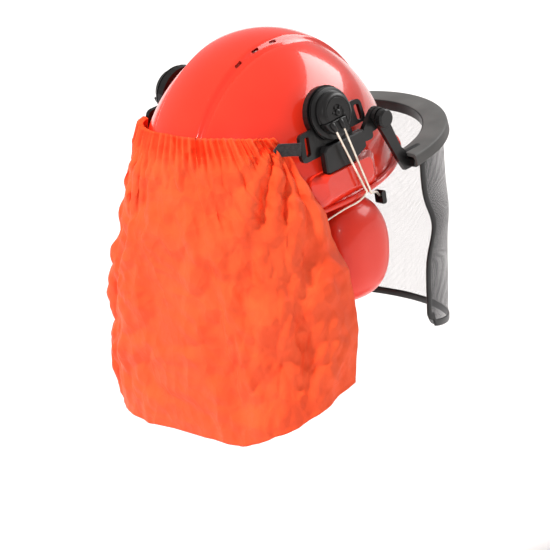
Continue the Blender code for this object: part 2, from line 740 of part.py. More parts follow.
def make_cup(side_name, side):
    low, high = CUP_OUT
    depth = high - low

    def ring(scale, out, inset=0.0):
        return [(side * out, y, z) for y, z in cup_outline(scale, inset=inset)]

    turns = np.linspace(0, 1.42, 6)
    outer = [(math.cos(a) ** 0.62, low + 5 + (depth - 5) * math.sin(a) ** 1.15) for a in turns]
    loops = [ring(0.985, low), ring(1.0, low + 1.5)] + [ring(scale, out) for scale, out in outer]
    loops.append(ring(0.06, high))
    loops.append(ring(0.06, high - CUP_WALL))
    loops += [ring(scale, out - CUP_WALL, CUP_WALL * scale) for scale, out in outer[::-1]]
    loops.append(ring(1.0, low, CUP_WALL))
    pieces = [cup_solid("cup_shell_" + side_name, loops)]

    foam = [ring(0.80, low + 1.0), ring(0.84, low + 9.0), ring(0.70, low + 19.0), ring(0.40, low + 25.0)]
    pieces.append(loft("cup_foam_" + side_name, foam, "foam_black", smooth=True))

    plate = loft("cup_baffle_" + side_name, [ring(1.0, out) for out in BAFFLE_OUT], "black_plastic")
    pieces.append(plate)
    through = (BAFFLE_OUT[0] - 4, BAFFLE_OUT[1] + 4)
    cut(plate, loft("baffle_hole_" + side_name, [ring(0.52, out) for out in through]))

    a, b = CUSHION_OUT
    sections = [(1.0, b), (1.03, b - 4), (1.02, a + 4), (0.93, a + 0.6)]
    sections += [(0.80, a), (0.66, a + 1.5), (0.58, a + 6), (0.56, b)]
    loops = [ring(scale, out) for scale, out in sections]
    pieces.append(loft("cup_cushion_" + side_name, loops, "cushion_black", closed=True, smooth=True))

    for name, turn in (("front", -1.0), ("rear", 1.0)):
        y = pivot_y(turn)
        span = sorted((y - turn * 1.5, y + turn * 4.2))
        socket = prism(
            f"cup_socket_{name}_{side_name}",
            box_outline(span, (PIVOT_Z - 7, PIVOT_Z + 6), 1.5, 2),
            PIVOT_OUT - 5.5,
            PIVOT_OUT + 4.5,
            side,
            "black_plastic",
        )
        route = wire_route(name, side)[-7:]
        past = route[-1] + unit(route[-1] - route[-2]) * 0.6
        cut(socket, tube(f"socket_slot_{name}_{side_name}", [*route, past], WIRE_RADIUS + 1.1, None))
        clearance = [ring(1.0, out, -GAP) for out in (low - 2, PIVOT_OUT + 12)]
        cut(socket, loft(f"socket_clear_{name}_{side_name}", clearance))
        pieces.append(socket)
    return pieces


def cup_solid(name, loops):
    """A dished shell: its loops run up the outside, over the closed middle and down the inside."""
    size = len(loops[0])
    half = len(loops) // 2
    points = np.concatenate(loops)
    faces = []
    for i in range(len(loops)):
        n = (i + 1) % len(loops)
        if i == half - 1:
            continue
        for k in range(size):
            m = (k + 1) % size
            faces.append((i * size + k, i * size + m, n * size + m, n * size + k))
    faces.append(tuple(range((half - 1) * size, half * size)))
    faces.append(tuple(range(half * size, (half + 1) * size))[::-1])
    return solid(name, points, faces, "shell_red", smooth=True)


# ---------------------------------------------------------------- visor

def guard_height(y):
    share = (GUARD_END_Y - y) / (GUARD_END_Y - GUARD_FRONT_Y)
    return GUARD_END_Z + (GUARD_FRONT_Z - GUARD_END_Z) * share


def make_guard():
    """The brow guard: a flat C-shaped band with a skirt outside and a short lip inside."""
    w, low = GUARD_WIDTH, -GUARD_SKIRT
    section = ((0, 0), (w - 2, 0), (w, -1.6), (w + 1.0, low), (w - 1.4, low))
    section += ((w - 2.6, -3.4), (2.4, -2.6), (2.4, -10), (0, -10))
    loops = []
    for angle in np.linspace(0, math.pi, 27):
        loop = []
        for shift, down in section:
            half_width = GUARD_HALF_WIDTH - w + shift
            depth = GUARD_END_Y - GUARD_FRONT_Y - w + shift
            y = GUARD_END_Y - depth * math.sin(angle)
            loop.append((-half_width * math.cos(angle), y, guard_height(y) + down))
        loops.append(loop)
    return loft("brow_guard", loops, "guard_grey", smooth=True)


def screen_point(share, height, out=0.0):
    """A point of the visor surface: share 0..1 runs from the right edge round to the left one."""
    angle = math.pi * share
    half_width = SCREEN_HALF_WIDTH + out
    depth = SCREEN_END_Y - SCREEN_FRONT_Y + out
    below = GUARD_FRONT_Z - height
    lean = SCREEN_SLOPE * below * (0.7 + 0.3 * math.sin(angle)) + SCREEN_CURVE * (below / 100) ** 2
    # The free edges bulge forward half way down.
    bump = SCREEN_BUMP * math.exp(-((height - SCREEN_BUMP_Z) / SCREEN_BUMP_LENGTH) ** 2)
    y = SCREEN_END_Y - depth * math.sin(angle) + lean - bump * abs(math.cos(angle)) ** 6
    return (-half_width * math.cos(angle), y, height)


def screen_bottom(share):
    bulge = math.sin(math.pi * share) ** 0.8
    return SCREEN_SIDE_BOTTOM + (SCREEN_FRONT_BOTTOM - SCREEN_SIDE_BOTTOM) * bulge


def screen_top(share):
    y = SCREEN_END_Y - (SCREEN_END_Y - SCREEN_FRONT_Y) * math.sin(math.pi * share)
    return guard_height(y) - 8.0


def make_screen():
    reach = math.pi * (SCREEN_HALF_WIDTH + SCREEN_END_Y - SCREEN_FRONT_Y) / 2
    inset = TRIM_WIDTH + 1.2
    border = inset / reach
    shares = np.linspace(border, 1 - border, 27)
    rows = np.linspace(0, 1, 13)

    def height_at(share, row):
        top = screen_top(share)
        return top + (screen_bottom(share) + inset - top) * row

    def grid(out):
        return [[screen_point(s, height_at(s, row), out) for s in shares] for row in rows]

    front, back = grid(SCREEN_THICKNESS / 2), grid(-SCREEN_THICKNESS / 2)
    screen = slab("mesh_screen", front, back, "screen_grey", smooth=True)

    # The trim's centre runs down one edge, along the bottom and up the other edge.
    half = TRIM_WIDTH / 2 / reach
    drop = screen_bottom(half) + TRIM_WIDTH - screen_top(0)
    stations = [(half, screen_top(0) + drop * t, (1, 0)) for t in np.linspace(0, 1, 12, endpoint=False)]
    stations.append((half, screen_bottom(half) + TRIM_WIDTH / 2, (1, 1)))
    for share in np.linspace(0, 0.5, 15)[1:]:
        stations.append((share, screen_bottom(share) + TRIM_WIDTH / 2, (0, 1)))
    full = stations + [(1 - s, h, (-c, d)) for s, h, (c, d) in stations[-2::-1]]
    loops = []
    for share, height, (c, d) in full:
        loop = []
        for across, out in ((-0.5, -0.5), (0.5, -0.5), (0.5, 0.5), (-0.5, 0.5)):
            s = share + across * c * TRIM_WIDTH / reach
            h = height + across * d * TRIM_WIDTH
            loop.append(screen_point(s, h, out * TRIM_THICKNESS))
        loops.append(loop)
    return screen, loft("visor_trim", loops, "trim_grey")


def make_visor_side(side_name, side):
    pivot = (VISOR_PIVOT_Y, VISOR_PIVOT_Z)
    # Fixed carrier arm from the adapter block to the pivot.
    edge = BLOCK_Y[0] - GAP
    outline = [(edge, 46), (edge, 58.5), (-36, 68)] + arc(pivot, 10.5, 60, 250, 8) + [(-38, 52)]
    carrier = prism("visor_carrier_" + side_name, outline, 108.5, 113.2, side, "black_plastic")
    outline = box_outline((-38, edge), (46, 58.5), 3)
    joined(carrier, prism("carrier_root_" + side_name, outline, 107.6, 113.2, side))
    cut(carrier, prism("carrier_bore_" + side_name, circle(pivot, BORE_RADIUS, 16), 104, 118, side))
    # Bracket from the pivot down to a foot under the end of the guard.
    outline = arc(pivot, 10.0, 20, 200, 8) + [(-69, 26), (-74.5, 20), (-74.5, 13), (-92, 12.5)]
    outline += [(-92, 2.0), (-70, 2.0), (-62, 16), (-48, 46)]
    bracket = prism("guard_bracket_" + side_name, outline, 113.6, 118.0, side, "black_plastic")
    foot = prism("bracket_foot_" + side_name, box_outline((-92, -76), (3, 12.5), 2), 110.0, 125.0, side)
    joined(bracket, foot)
    cut(bracket, prism("bracket_bore_" + side_name, circle(pivot, BORE_RADIUS, 16), 110, 122, side))
    r = VISOR_KNOB_RADIUS
    profile = [(0, 107.0), (PIN_RADIUS, 107.0), (PIN_RADIUS, 118.4), (r - 0.6, 118.4)]
    profile += [(r, 119.5), (r, 124.0), (r - 1.4, 126.0), (0, 126.0)]
    knob = turned("visor_knob_" + side_name, pivot, profile, side, "black_plastic", 20)
    return carrier, bracket, knob


# ---------------------------------------------------------------- neck cape

def cape_point(share, drop, out=0.0):
    """A point of the cape: share -1..1 runs from the right edge to the left, drop 0..1 to the hem."""
    keys = np.array(CAPE_PLAN)
    half_width, depth, square, front = (np.interp(drop, keys[:, 0], row) for row in keys.T[1:])
    start = math.asin(min(1.0, front / depth) ** (square / 2))
    angle = start + (math.pi / 2 - start) * (1 - abs(share))
    power = 2 / square
    x = math.copysign((half_width + out) * math.cos(angle) ** power, share) if share else 0.0
    y = (depth + out) * math.sin(angle) ** power
    back = 1 - abs(share) ** 2
    top = CAPE_TOP_CORNER + (CAPE_TOP_BACK - CAPE_TOP_CORNER) * back
    hem = CAPE_HEM_FRONT + (CAPE_HEM_BACK - CAPE_HEM_FRONT) * min(1.0, 1.6 * back) - 10 * share * drop
    return (x + CAPE_DRIFT * smoothstep(0.1, 1.0, drop), y, top + (hem - top) * drop)


def make_cape():
    shares = np.sin(np.linspace(-math.pi / 2, math.pi / 2, 23))
    drops = (0.0, 0.05, 0.11, 0.2, 0.3, 0.42, 0.55, 0.7, 0.85, 1.0)
    front = [[cape_point(s, d, CAPE_THICKNESS / 2) for s in shares] for d in drops]
    back = [[cape_point(s, d, -CAPE_THICKNESS / 2) for s in shares] for d in drops]
    slab("neck_cape", front, back, "cape_orange", smooth=True)


def make_cape_strap(side_name, side):
    """Webbing from the adapter's rear loop to the corner of the cape."""
    loops = []
    centres = [(106.8, 54.2), (103.8, 58.0), (97.6, 66.0), (94.4, 70.2)]
    heights = [(66.5, 14.0), (68.0, 14.0), (71.0, 13.5), (72.5, 13.0)]
    half_thick = unit((0.62, 0.78, 0)) * 0.75
    for (out, y), (middle, tall) in zip(centres, heights):
        dx, dy = half_thick[:2]
        low, high = middle - tall / 2, middle + tall / 2
        near, far = (side * (out - dx), y - dy), (side * (out + dx), y + dy)
        loops.append([(*near, low), (*far, low), (*far, high), (*near, high)])
    return loft("cape_strap_" + side_name, loops, "webbing_black")


def main():
    make_shell()
    make_headband()
    make_sweatband()
    make_harness_clips()
    make_crown_straps()
    make_nape()
    make_chin_strap()
    visor_axis = empty("visor_axis", (0, VISOR_PIVOT_Y, VISOR_PIVOT_Z))
    for side_name, side in SIDES:
        make_adapter(side_name, side)
        swivel_axis = empty("swivel_axis_" + side_name, (side * 110, SWIVEL_Y, SWIVEL_Z))
        disc, cap, screw, carrier = make_swivel(side_name, side)
        hang(swivel_axis, disc, cap, screw)
        hang(empty("tilt_axis_" + side_name, (side * TILT_OUT, SWIVEL_Y + 7, TILT_Z)), carrier)
        slide_axis = empty("slide_axis_" + side_name, (side * WIRE_OUT, SWIVEL_Y + 7, TILT_Z))
        hang(slide_axis, *make_wires(side_name, side))
        cup_axis = empty("cup_axis_" + side_name, (side * PIVOT_OUT, CUP_Y, PIVOT_Z))
        hang(cup_axis, *make_cup(side_name, side))
        carrier, bracket, knob = make_visor_side(side_name, side)
        hang(visor_axis, bracket, knob)
        make_cape_strap(side_name, side)
    hang(visor_axis, make_guard(), *make_screen())
    make_cape()


clear_scene()
MATERIALS = make_materials()
main()
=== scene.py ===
"""Looks of the forestry safety helmet: shell, visor, ear muffs, harness and neck cape.

Lengths in this file are in millimetres unless a name says otherwise, in the part's own frame: +Z is up,
the front faces -Y, the wearer's right is -X, and the shell's rim plane is z = 0.
"""

import json
import math

import bpy
import numpy as np
from mathutils import Matrix, Vector
from mathutils.geometry import delaunay_2d_cdt


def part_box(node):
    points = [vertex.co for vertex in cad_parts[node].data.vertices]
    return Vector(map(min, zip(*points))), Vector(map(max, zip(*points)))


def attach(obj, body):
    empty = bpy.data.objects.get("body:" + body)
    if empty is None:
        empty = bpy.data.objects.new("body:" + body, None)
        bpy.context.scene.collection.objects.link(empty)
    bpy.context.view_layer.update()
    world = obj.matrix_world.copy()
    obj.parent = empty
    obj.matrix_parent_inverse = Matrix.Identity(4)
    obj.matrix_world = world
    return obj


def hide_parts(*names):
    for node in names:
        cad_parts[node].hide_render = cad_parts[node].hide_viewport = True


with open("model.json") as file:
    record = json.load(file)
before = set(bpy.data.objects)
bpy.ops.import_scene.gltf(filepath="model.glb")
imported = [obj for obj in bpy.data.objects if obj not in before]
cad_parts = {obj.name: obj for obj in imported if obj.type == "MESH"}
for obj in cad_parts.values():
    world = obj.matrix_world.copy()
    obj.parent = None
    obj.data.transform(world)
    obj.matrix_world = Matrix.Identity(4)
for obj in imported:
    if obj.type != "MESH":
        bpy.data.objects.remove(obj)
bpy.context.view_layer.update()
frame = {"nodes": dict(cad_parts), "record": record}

MM = 0.001
SIDES = (("right", -1.0), ("left", 1.0))
NODES = frame["nodes"]


def box_mm(node):
    """The node's lowest and highest corner, in millimetres."""
    low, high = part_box(node)
    return np.array(low) / MM, np.array(high) / MM


# ---------------------------------------------------------------- small maths

def unit(vector):
    vector = np.asarray(vector, float)
    length = np.linalg.norm(vector, axis=-1, keepdims=True)
    return vector / np.maximum(length, 1e-12)


def smoothstep(low, high, value):
    t = np.clip((np.asarray(value, float) - low) / (high - low), 0, 1)
    return t * t * (3 - 2 * t)


def bent(value, power):
    """A power of a value that keeps its sign; powers below 1 square off a round shape."""
    return math.copysign(abs(value) ** power, value)


def along(points, steps):
    """A smooth curve through a few points, read at equal shares of its length."""
    points = np.asarray(points, float)
    ends = np.concatenate([[2 * points[0] - points[1]], points, [2 * points[-1] - points[-2]]])
    fine = []
    for i in range(1, len(ends) - 2):
        a, b, c, d = ends[i - 1 : i + 3]
        for t in np.linspace(0, 1, 24, endpoint=False):
            bend = 2 * a - 5 * b + 4 * c - d
            fine.append(0.5 * (2 * b + (c - a) * t + bend * t * t + (3 * b - a - 3 * c + d) * t ** 3))
    fine = np.array([*fine, ends[-2]])
    lengths = np.concatenate([[0], np.cumsum(np.linalg.norm(np.diff(fine, axis=0), axis=1))])
    wanted = np.linspace(0, lengths[-1], steps)
    return np.stack([np.interp(wanted, lengths, fine[:, k]) for k in range(fine.shape[1])], axis=1)


def tangents_of(points):
    return unit(np.gradient(np.asarray(points, float), axis=0))


# ---------------------------------------------------------------- mesh builders

def mesh_piece(name, points, faces, material, sharp=35.0, uvs=None):
    """A mesh object from points in millimetres, shaded smooth except at sharp edges."""
    mesh = bpy.data.meshes.new(name)
    mesh.from_pydata([Vector(p) * MM for p in np.asarray(points, float)], [], [tuple(f) for f in faces])
    mesh.validate()
    mesh.update()
    if uvs is not None:
        layer = mesh.uv_layers.new(name="UVMap")
        index = np.zeros(len(mesh.loops), np.int32)
        mesh.loops.foreach_get("vertex_index", index)
        layer.data.foreach_set("uv", np.asarray(uvs, np.float32)[index].ravel())
    mesh.materials.append(material)
    mesh.shade_smooth()
    mesh.set_sharp_from_angle(angle=math.radians(sharp))
    piece = bpy.data.objects.new(name, mesh)
    bpy.context.scene.collection.objects.link(piece)
    return piece


def grid_faces(rows, columns, offset=0, wrap_rows=False, wrap_columns=False):
    faces = []
    for i in range(rows if wrap_rows else rows - 1):
        for j in range(columns if wrap_columns else columns - 1):
            a, b = offset + i * columns, offset + (i + 1) % rows * columns
            m = (j + 1) % columns
            faces.append((a + j, a + m, b + m, b + j))
    return faces


def loft(name, loops, material, closed=False, sharp=35.0, flip=False, uvs=None):
    """Joins equal closed loops one after another; the ends are capped unless the path is closed."""
    loops = np.asarray(loops, float)
    count, size = loops.shape[:2]
    faces = grid_faces(count, size, wrap_rows=closed, wrap_columns=True)
    if not closed:
        faces.append(tuple(range(size))[::-1])
        faces.append(tuple(range((count - 1) * size, count * size)))
    points = loops.reshape(-1, 3)
    corners = points[[face[:3] for face in faces]]
    volume = np.einsum("ij,ij->i", corners[:, 0], np.cross(corners[:, 1], corners[:, 2])).sum()
    if (volume < 0) != flip:
        faces = [face[::-1] for face in faces]
    return mesh_piece(name, points, faces, material, sharp, uvs)


def turned(name, centre, profile, side, material, segments=96, sharp=30.0):
    """A body turned about an axis along X through centre (y, z); profile is a loop of (r, out)."""
    angles = 2 * math.pi * np.arange(segments) / segments
    loops = [
        [(side * out, centre[0] + r * math.cos(a), centre[1] + r * math.sin(a)) for r, out in profile]
        for a in angles
    ]
    return loft(name, loops, material, closed=True, sharp=sharp)


def prism(name, outline, low, high, side, material, edge=0.0):
    """An outline of (y, z) points drawn out across the width, with its edges rounded."""
    piece = loft(name, [[(side * out, y, z) for y, z in outline] for out in (low, high)], material)
    return rounded(piece, edge) if edge else piece


def rounded(piece, width, segments=3, angle=40.0):
    modifier = piece.modifiers.new("round", "BEVEL")
    modifier.width = width * MM
    modifier.segments = segments
    modifier.limit_method = "ANGLE"
    modifier.angle_limit = math.radians(angle)
    modifier.harden_normals = False
    return piece


def arc(centre, radius, start, end, steps):
    angles = np.radians(np.linspace(start, end, steps + 1))
    return [(centre[0] + radius * math.cos(a), centre[1] + radius * math.sin(a)) for a in angles]


def box_outline(y_range, z_range, corner, steps=6):
    (y0, y1), (z0, z1) = y_range, z_range
    points = arc((y0 + corner, z0 + corner), corner, 180, 270, steps)
    points += arc((y1 - corner, z0 + corner), corner, 270, 360, steps)
    points += arc((y1 - corner, z1 - corner), corner, 0, 90, steps)
    return points + arc((y0 + corner, z1 - corner), corner, 90, 180, steps)


def tube(name, points, radius, material, sides=16):
    """A round bar along a row of points, or a row of radii along it."""
    points = np.asarray(points, float)
    radii = np.broadcast_to(radius, len(points))
    tangents = tangents_of(points)
    normal = unit(np.cross(tangents[0], (0.3, 0.2, 0.9)))
    angles = 2 * math.pi * np.arange(sides) / sides
    loops = []
    for point, tangent, r in zip(points, tangents, radii):
        normal = unit(normal - tangent * (normal @ tangent))
        other = np.cross(tangent, normal)
        loops.append([point + r * (math.cos(a) * normal + math.sin(a) * other) for a in angles])
    return loft(name, loops, material, sharp=60)


def ribbon(name, centres, across, outward, width, thickness, material):
    """Webbing along a row of centres, with round selvedges and a slight rib down each edge."""
    centres = np.asarray(centres, float)
    shape = []
    for a in np.linspace(0, 2 * math.pi, 28, endpoint=False):
        u = bent(math.cos(a), 0.25) / 2
        v = bent(math.sin(a), 0.6) / 2
        v *= 1.0 + 0.25 * (abs(u) > 0.40)
        shape.append((u, v))
    run = np.concatenate([[0], np.cumsum(np.linalg.norm(np.diff(centres, axis=0), axis=1))])
    loops, uvs = [], []
    for centre, side_way, out_way, length in zip(centres, across, outward, run):
        loops.append([centre + side_way * u * width + out_way * v * thickness for u, v in shape])
        uvs += [(u * width, length) for u, v in shape]
    return loft(name, loops, material, sharp=60, uvs=uvs)


def applied(piece):
    """The piece with its modifiers made real."""
    graph = bpy.context.evaluated_depsgraph_get()
    mesh = bpy.data.meshes.new_from_object(piece.evaluated_get(graph))
    piece.modifiers.clear()
    piece.data = mesh
    return piece


def cut(piece, *cutters):
    for cutter in cutters:
        modifier = piece.modifiers.new("cut", "BOOLEAN")
        modifier.operation = "DIFFERENCE"
        modifier.solver = "EXACT"
        modifier.object = cutter
    applied(piece)
    for cutter in cutters:
        bpy.data.objects.remove(cutter, do_unlink=True)
    piece.data.shade_smooth()
    piece.data.set_sharp_from_angle(angle=math.radians(35))
    return piece


# ---------------------------------------------------------------- materials

def new_material(name, colour, roughness, metallic=0.0, **values):
    material = bpy.data.materials.new(name)
    material.use_nodes = True
    shader = material.node_tree.nodes["Principled BSDF"]
    shader.inputs["Base Color"].default_value = (*colour, 1.0)
    shader.inputs["Roughness"].default_value = roughness
    shader.inputs["Metallic"].default_value = metallic
    for socket, value in values.items():
        shader.inputs[socket.replace("_", " ")].default_value = value
    return material


def node(material, kind, **values):
    made = material.node_tree.nodes.new(kind)
    for name, value in values.items():
        setattr(made, name, value)
    return made


def link(material, source, target):
    material.node_tree.links.new(source, target)


def coordinates(material, uv=False):
    return node(material, "ShaderNodeTexCoord").outputs["UV" if uv else "Object"]


def noise(material, scale, detail=3.0, roughness=0.5, stretch=None):
    """A noise texture in object space; scale is in waves per metre."""
    texture = node(material, "ShaderNodeTexNoise")
    texture.inputs["Scale"].default_value = scale
    texture.inputs["Detail"].default_value = detail
    texture.inputs["Roughness"].default_value = roughness
    source = coordinates(material)
    if stretch:
        mapping = node(material, "ShaderNodeMapping")
        mapping.inputs["Scale"].default_value = stretch
        link(material, source, mapping.inputs["Vector"])
        source = mapping.outputs["Vector"]
    link(material, source, texture.inputs["Vector"])
    return texture.outputs["Fac"]


def mottled(material, dark, light, scale, low=0.35, high=0.65):
    """Varies the base colour between two colours."""
    ramp = node(material, "ShaderNodeValToRGB")
    ramp.color_ramp.elements[0].position = low
    ramp.color_ramp.elements[1].position = high
    ramp.color_ramp.elements[0].color = (*dark, 1)
    ramp.color_ramp.elements[1].color = (*light, 1)
    link(material, noise(material, scale), ramp.inputs["Fac"])
    shader = material.node_tree.nodes["Principled BSDF"]
    link(material, ramp.outputs["Color"], shader.inputs["Base Color"])
    return material


def rough_varied(material, low, high, scale):
    reach = node(material, "ShaderNodeMapRange")
    reach.inputs["To Min"].default_value = low
    reach.inputs["To Max"].default_value = high
    link(material, noise(material, scale), reach.inputs["Value"])
    shader = material.node_tree.nodes["Principled BSDF"]
    link(material, reach.outputs["Result"], shader.inputs["Roughness"])
    return material


def bumped(material, height, distance_mm, strength=1.0):
    """Adds a bump from a height of 0 to 1, on top of any bump that the material has."""
    shader = material.node_tree.nodes["Principled BSDF"]
    bump = node(material, "ShaderNodeBump")
    bump.inputs["Distance"].default_value = distance_mm * MM
    bump.inputs["Strength"].default_value = strength
    link(material, height, bump.inputs["Height"])
    if shader.inputs["Normal"].is_linked:
        link(material, shader.inputs["Normal"].links[0].from_socket, bump.inputs["Normal"])
    link(material, bump.outputs["Normal"], shader.inputs["Normal"])
    return material


def maths(material, operation, a, b=0.0):
    made = node(material, "ShaderNodeMath", operation=operation)
    for socket, value in zip(made.inputs, (a, b)):
        if isinstance(value, (int, float)):
            socket.default_value = value
        else:
            link(material, value, socket)
    return made.outputs[0]


def threads(material, u, v, pitch_mm):
    """The height of a plain weave whose threads run along u and v, which are in millimetres."""
    turn = 2 * math.pi / pitch_mm
    warp = maths(material, "SINE", maths(material, "MULTIPLY", u, turn))
    weft = maths(material, "SINE", maths(material, "MULTIPLY", v, turn))
    return maths(material, "MULTIPLY_ADD", maths(material, "MULTIPLY", warp, weft), 0.5)


def split_uv(material):
    parts = node(material, "ShaderNodeSeparateXYZ")
    link(material, coordinates(material, uv=True), parts.inputs[0])
    return parts.outputs[0], parts.outputs[1]


SCREEN_REACH = 347.0
SHELL_RED = (0.90, 0.040, 0.016)
CAPE_ORANGE = (0.97, 0.100, 0.027)


def shell_material(name="shell_gloss", roughness=0.22, coat=0.6):
    made = new_material(name, SHELL_RED, roughness, Coat_Weight=coat, Coat_Roughness=0.04,
                        Specular_IOR_Level=0.25)
    mottled(made, (0.86, 0.034, 0.014), (0.93, 0.044, 0.018), 9.0)
    rough_varied(made, roughness - 0.03, roughness + 0.06, 60.0)
    bumped(made, noise(made, 130.0, 2.0), 0.05, 0.35)
    return bumped(made, noise(made, 2200.0, 2.0), 0.01, 0.25)


def cape_material():
    made = new_material("cape_cloth", CAPE_ORANGE, 0.60, Specular_IOR_Level=0.22, Sheen_Weight=0.06,
                        Sheen_Roughness=0.4, Sheen_Tint=(1.0, 0.45, 0.2, 1.0))
    mottled(made, (0.95, 0.088, 0.023), (0.99, 0.112, 0.031), 26.0)
    rough_varied(made, 0.50, 0.70, 45.0)
    u, v = split_uv(made)
    bumped(made, threads(made, u, v, 0.7), 0.06, 0.5)
    # Creases of cloth that was stored folded: ridges between cells of two sizes, bent by noise.
    for scale, distance in ((34.0, 5.5), (80.0, 2.0)):
        bumped(made, cells(made, scale, (1.0, 1.0, 0.75)), distance, 1.0)
    return made


def plastic(name, dark, light, roughness, grain_mm=0.03, grain_scale=1700.0, coat=0.0):
    made = new_material(name, light, roughness, Coat_Weight=coat, Coat_Roughness=0.15, Specular_IOR_Level=0.3)
    mottled(made, dark, light, 30.0)
    rough_varied(made, roughness - 0.06, roughness + 0.08, 90.0)
    return bumped(made, noise(made, grain_scale, 2.0), grain_mm, 0.5)


def cells(material, scale, stretch):
    """Shallow cells with crisp ridges between them, in object space and bent by noise."""
    bend = node(material, "ShaderNodeTexNoise")
    bend.inputs["Scale"].default_value = scale * 0.8
    bend.inputs["Detail"].default_value = 2.0
    source = coordinates(material)
    link(material, source, bend.inputs["Vector"])
    mix = node(material, "ShaderNodeMix", data_type="VECTOR")
    mix.inputs["Factor"].default_value = 0.55 / scale
    link(material, source, mix.inputs[4])
    link(material, bend.outputs["Color"], mix.inputs[5])
    mapping = node(material, "ShaderNodeMapping")
    mapping.inputs["Scale"].default_value = stretch
    link(material, mix.outputs[1], mapping.inputs["Vector"])
    texture = node(material, "ShaderNodeTexVoronoi")
    texture.inputs["Scale"].default_value = scale
    link(material, mapping.outputs["Vector"], texture.inputs["Vector"])
    return texture.outputs["Distance"]


def screen_material():
    """Woven wire: open holes between dark threads, both read from the sheet's own millimetres."""
    pitch, wire = 1.25, 0.21
    made = new_material("screen_weave", (0.05, 0.05, 0.052), 0.5, 0.2, Specular_IOR_Level=0.3)
    mottled(made, (0.040, 0.040, 0.042), (0.065, 0.065, 0.068), 40.0)
    u, v = split_uv(made)
    covers = []
    # The weave is drawn denser towards both ends of the sheet, to look as dark as in the photo.
    end = maths(made, "POWER", maths(made, "DIVIDE", maths(made, "ABSOLUTE", u), SCREEN_REACH / 2), 3.0)
    closed = maths(made, "ADD", maths(made, "MULTIPLY", end, 0.62), wire / pitch)
    for way in (u, v):
        share = maths(made, "FRACT", maths(made, "DIVIDE", way, pitch))
        covers.append(maths(made, "LESS_THAN", share, closed))
    alpha = maths(made, "MAXIMUM", covers[0], covers[1])
    link(made, alpha, made.node_tree.nodes["Principled BSDF"].inputs["Alpha"])
    return bumped(made, threads(made, u, v, 2 * pitch), 0.25, 0.6)


def webbing_material(name="webbing_weave", dark=(0.010, 0.010, 0.011), light=(0.030, 0.029, 0.030)):
    made = new_material(name, light, 0.75, Sheen_Weight=0.3, Sheen_Roughness=0.5)
    mottled(made, dark, light, 500.0)
    u, v = split_uv(made)
    bumped(made, threads(made, u, v, 1.5), 0.25, 0.9)
    return bumped(made, noise(made, 3000.0, 2.0), 0.05, 0.5)


def wire_material():
    made = new_material("spring_wire", (0.80, 0.72, 0.60), 0.24, 0.85)
    mottled(made, (0.68, 0.60, 0.49), (0.90, 0.83, 0.72), 160.0)
    rough_varied(made, 0.18, 0.34, 300.0)
    return bumped(made, noise(made, 900.0, 2.0, stretch=(1, 1, 0.1)), 0.02, 0.4)


def soft_material(name, dark, light, roughness, pore_scale, pore_mm):
    made = new_material(name, light, roughness)
    mottled(made, dark, light, 60.0)
    pores = node(made, "ShaderNodeTexVoronoi")
    pores.inputs["Scale"].default_value = pore_scale
    link(made, coordinates(made), pores.inputs["Vector"])
    bumped(made, pores.outputs["Distance"], pore_mm, 0.7)
    return bumped(made, noise(made, pore_scale / 6, 3.0), pore_mm * 2, 0.3)


def floor_material():
    made = new_material("pale_floor", (0.86, 0.83, 0.82), 0.7)
    mottled(made, (0.855, 0.825, 0.815), (0.875, 0.845, 0.835), 2.0)
    return bumped(made, noise(made, 40.0), 0.2, 0.1)


MATERIALS = {
    "shell_red": shell_material(),
    "cup_red": shell_material("cup_gloss", 0.34, 0.35),
    "cape_orange": cape_material(),
    "black_plastic": plastic("black_moulding", (0.005, 0.005, 0.005), (0.011, 0.010, 0.010), 0.34, coat=0.1),
    "guard_grey": plastic("guard_moulding", (0.085, 0.083, 0.080), (0.110, 0.107, 0.103), 0.55, 0.06, 1300.0),
    "screen_grey": screen_material(),
    "trim_grey": plastic("trim_moulding", (0.008, 0.008, 0.008), (0.018, 0.018, 0.018), 0.40, coat=0.1),
    "webbing_black": webbing_material(),
    "steel_wire": wire_material(),
    "foam_black": soft_material("foam_open", (0.018, 0.018, 0.019), (0.040, 0.039, 0.040), 0.95, 900.0, 0.25),
    "cushion_black": soft_material("vinyl_skin", (0.016, 0.016, 0.017), (0.032, 0.031, 0.032), 0.46, 650.0,
                                   0.06),
    "band_grey": plastic("band_moulding", (0.055, 0.055, 0.060), (0.085, 0.085, 0.092), 0.48),
    "thread": webbing_material("stitch_thread", (0.95, 0.34, 0.03), (1.0, 0.46, 0.05)),
}


def settle(piece, body, slot, *replaced):
    """Gives a finished piece its body and the CAD nodes that it stands for; its material slot is not used."""
    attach(piece, body)
    if replaced:
        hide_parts(*replaced)
    return piece


# ---------------------------------------------------------------- shell

SHELL_LOW, SHELL_HIGH = box_mm("shell")
HALF_WIDTH = 109.0
HALF_LENGTH = 136.0
HEIGHT = 147.0
WALL = 2.6
CREST_HEIGHT = SHELL_HIGH[2] - HEIGHT
CREST_TOP_HALF = 27.5
CREST_FOOT_HALF = 33.0
PEAK_LENGTH = 14.0
PEAK_HALF_WIDTH = 84.0
BOSS_TOP = 33.0
BOSS_OUT = 117.0
SLOT_Y = 3.0
SLOT_WIDTH = 32.0
SLOT_DEPTH = 21.0
BLADE_OUT = 111.8
BLADE_SPACE = 4.0
VENT_YS = (-7.0, 17.0, 41.0)
VENT_LONG = 8.8
VENT_TALL = 2.6
VENT_INNER = 27.4
VENT_OUTER = 44


def level_normals(points):
    """Level outward normals of the dome's ellipse at the points."""
    x, y = points[..., 0], points[..., 1]
    return unit(np.stack([x / HALF_WIDTH ** 2, y / HALF_LENGTH ** 2, 0 * x], axis=-1))


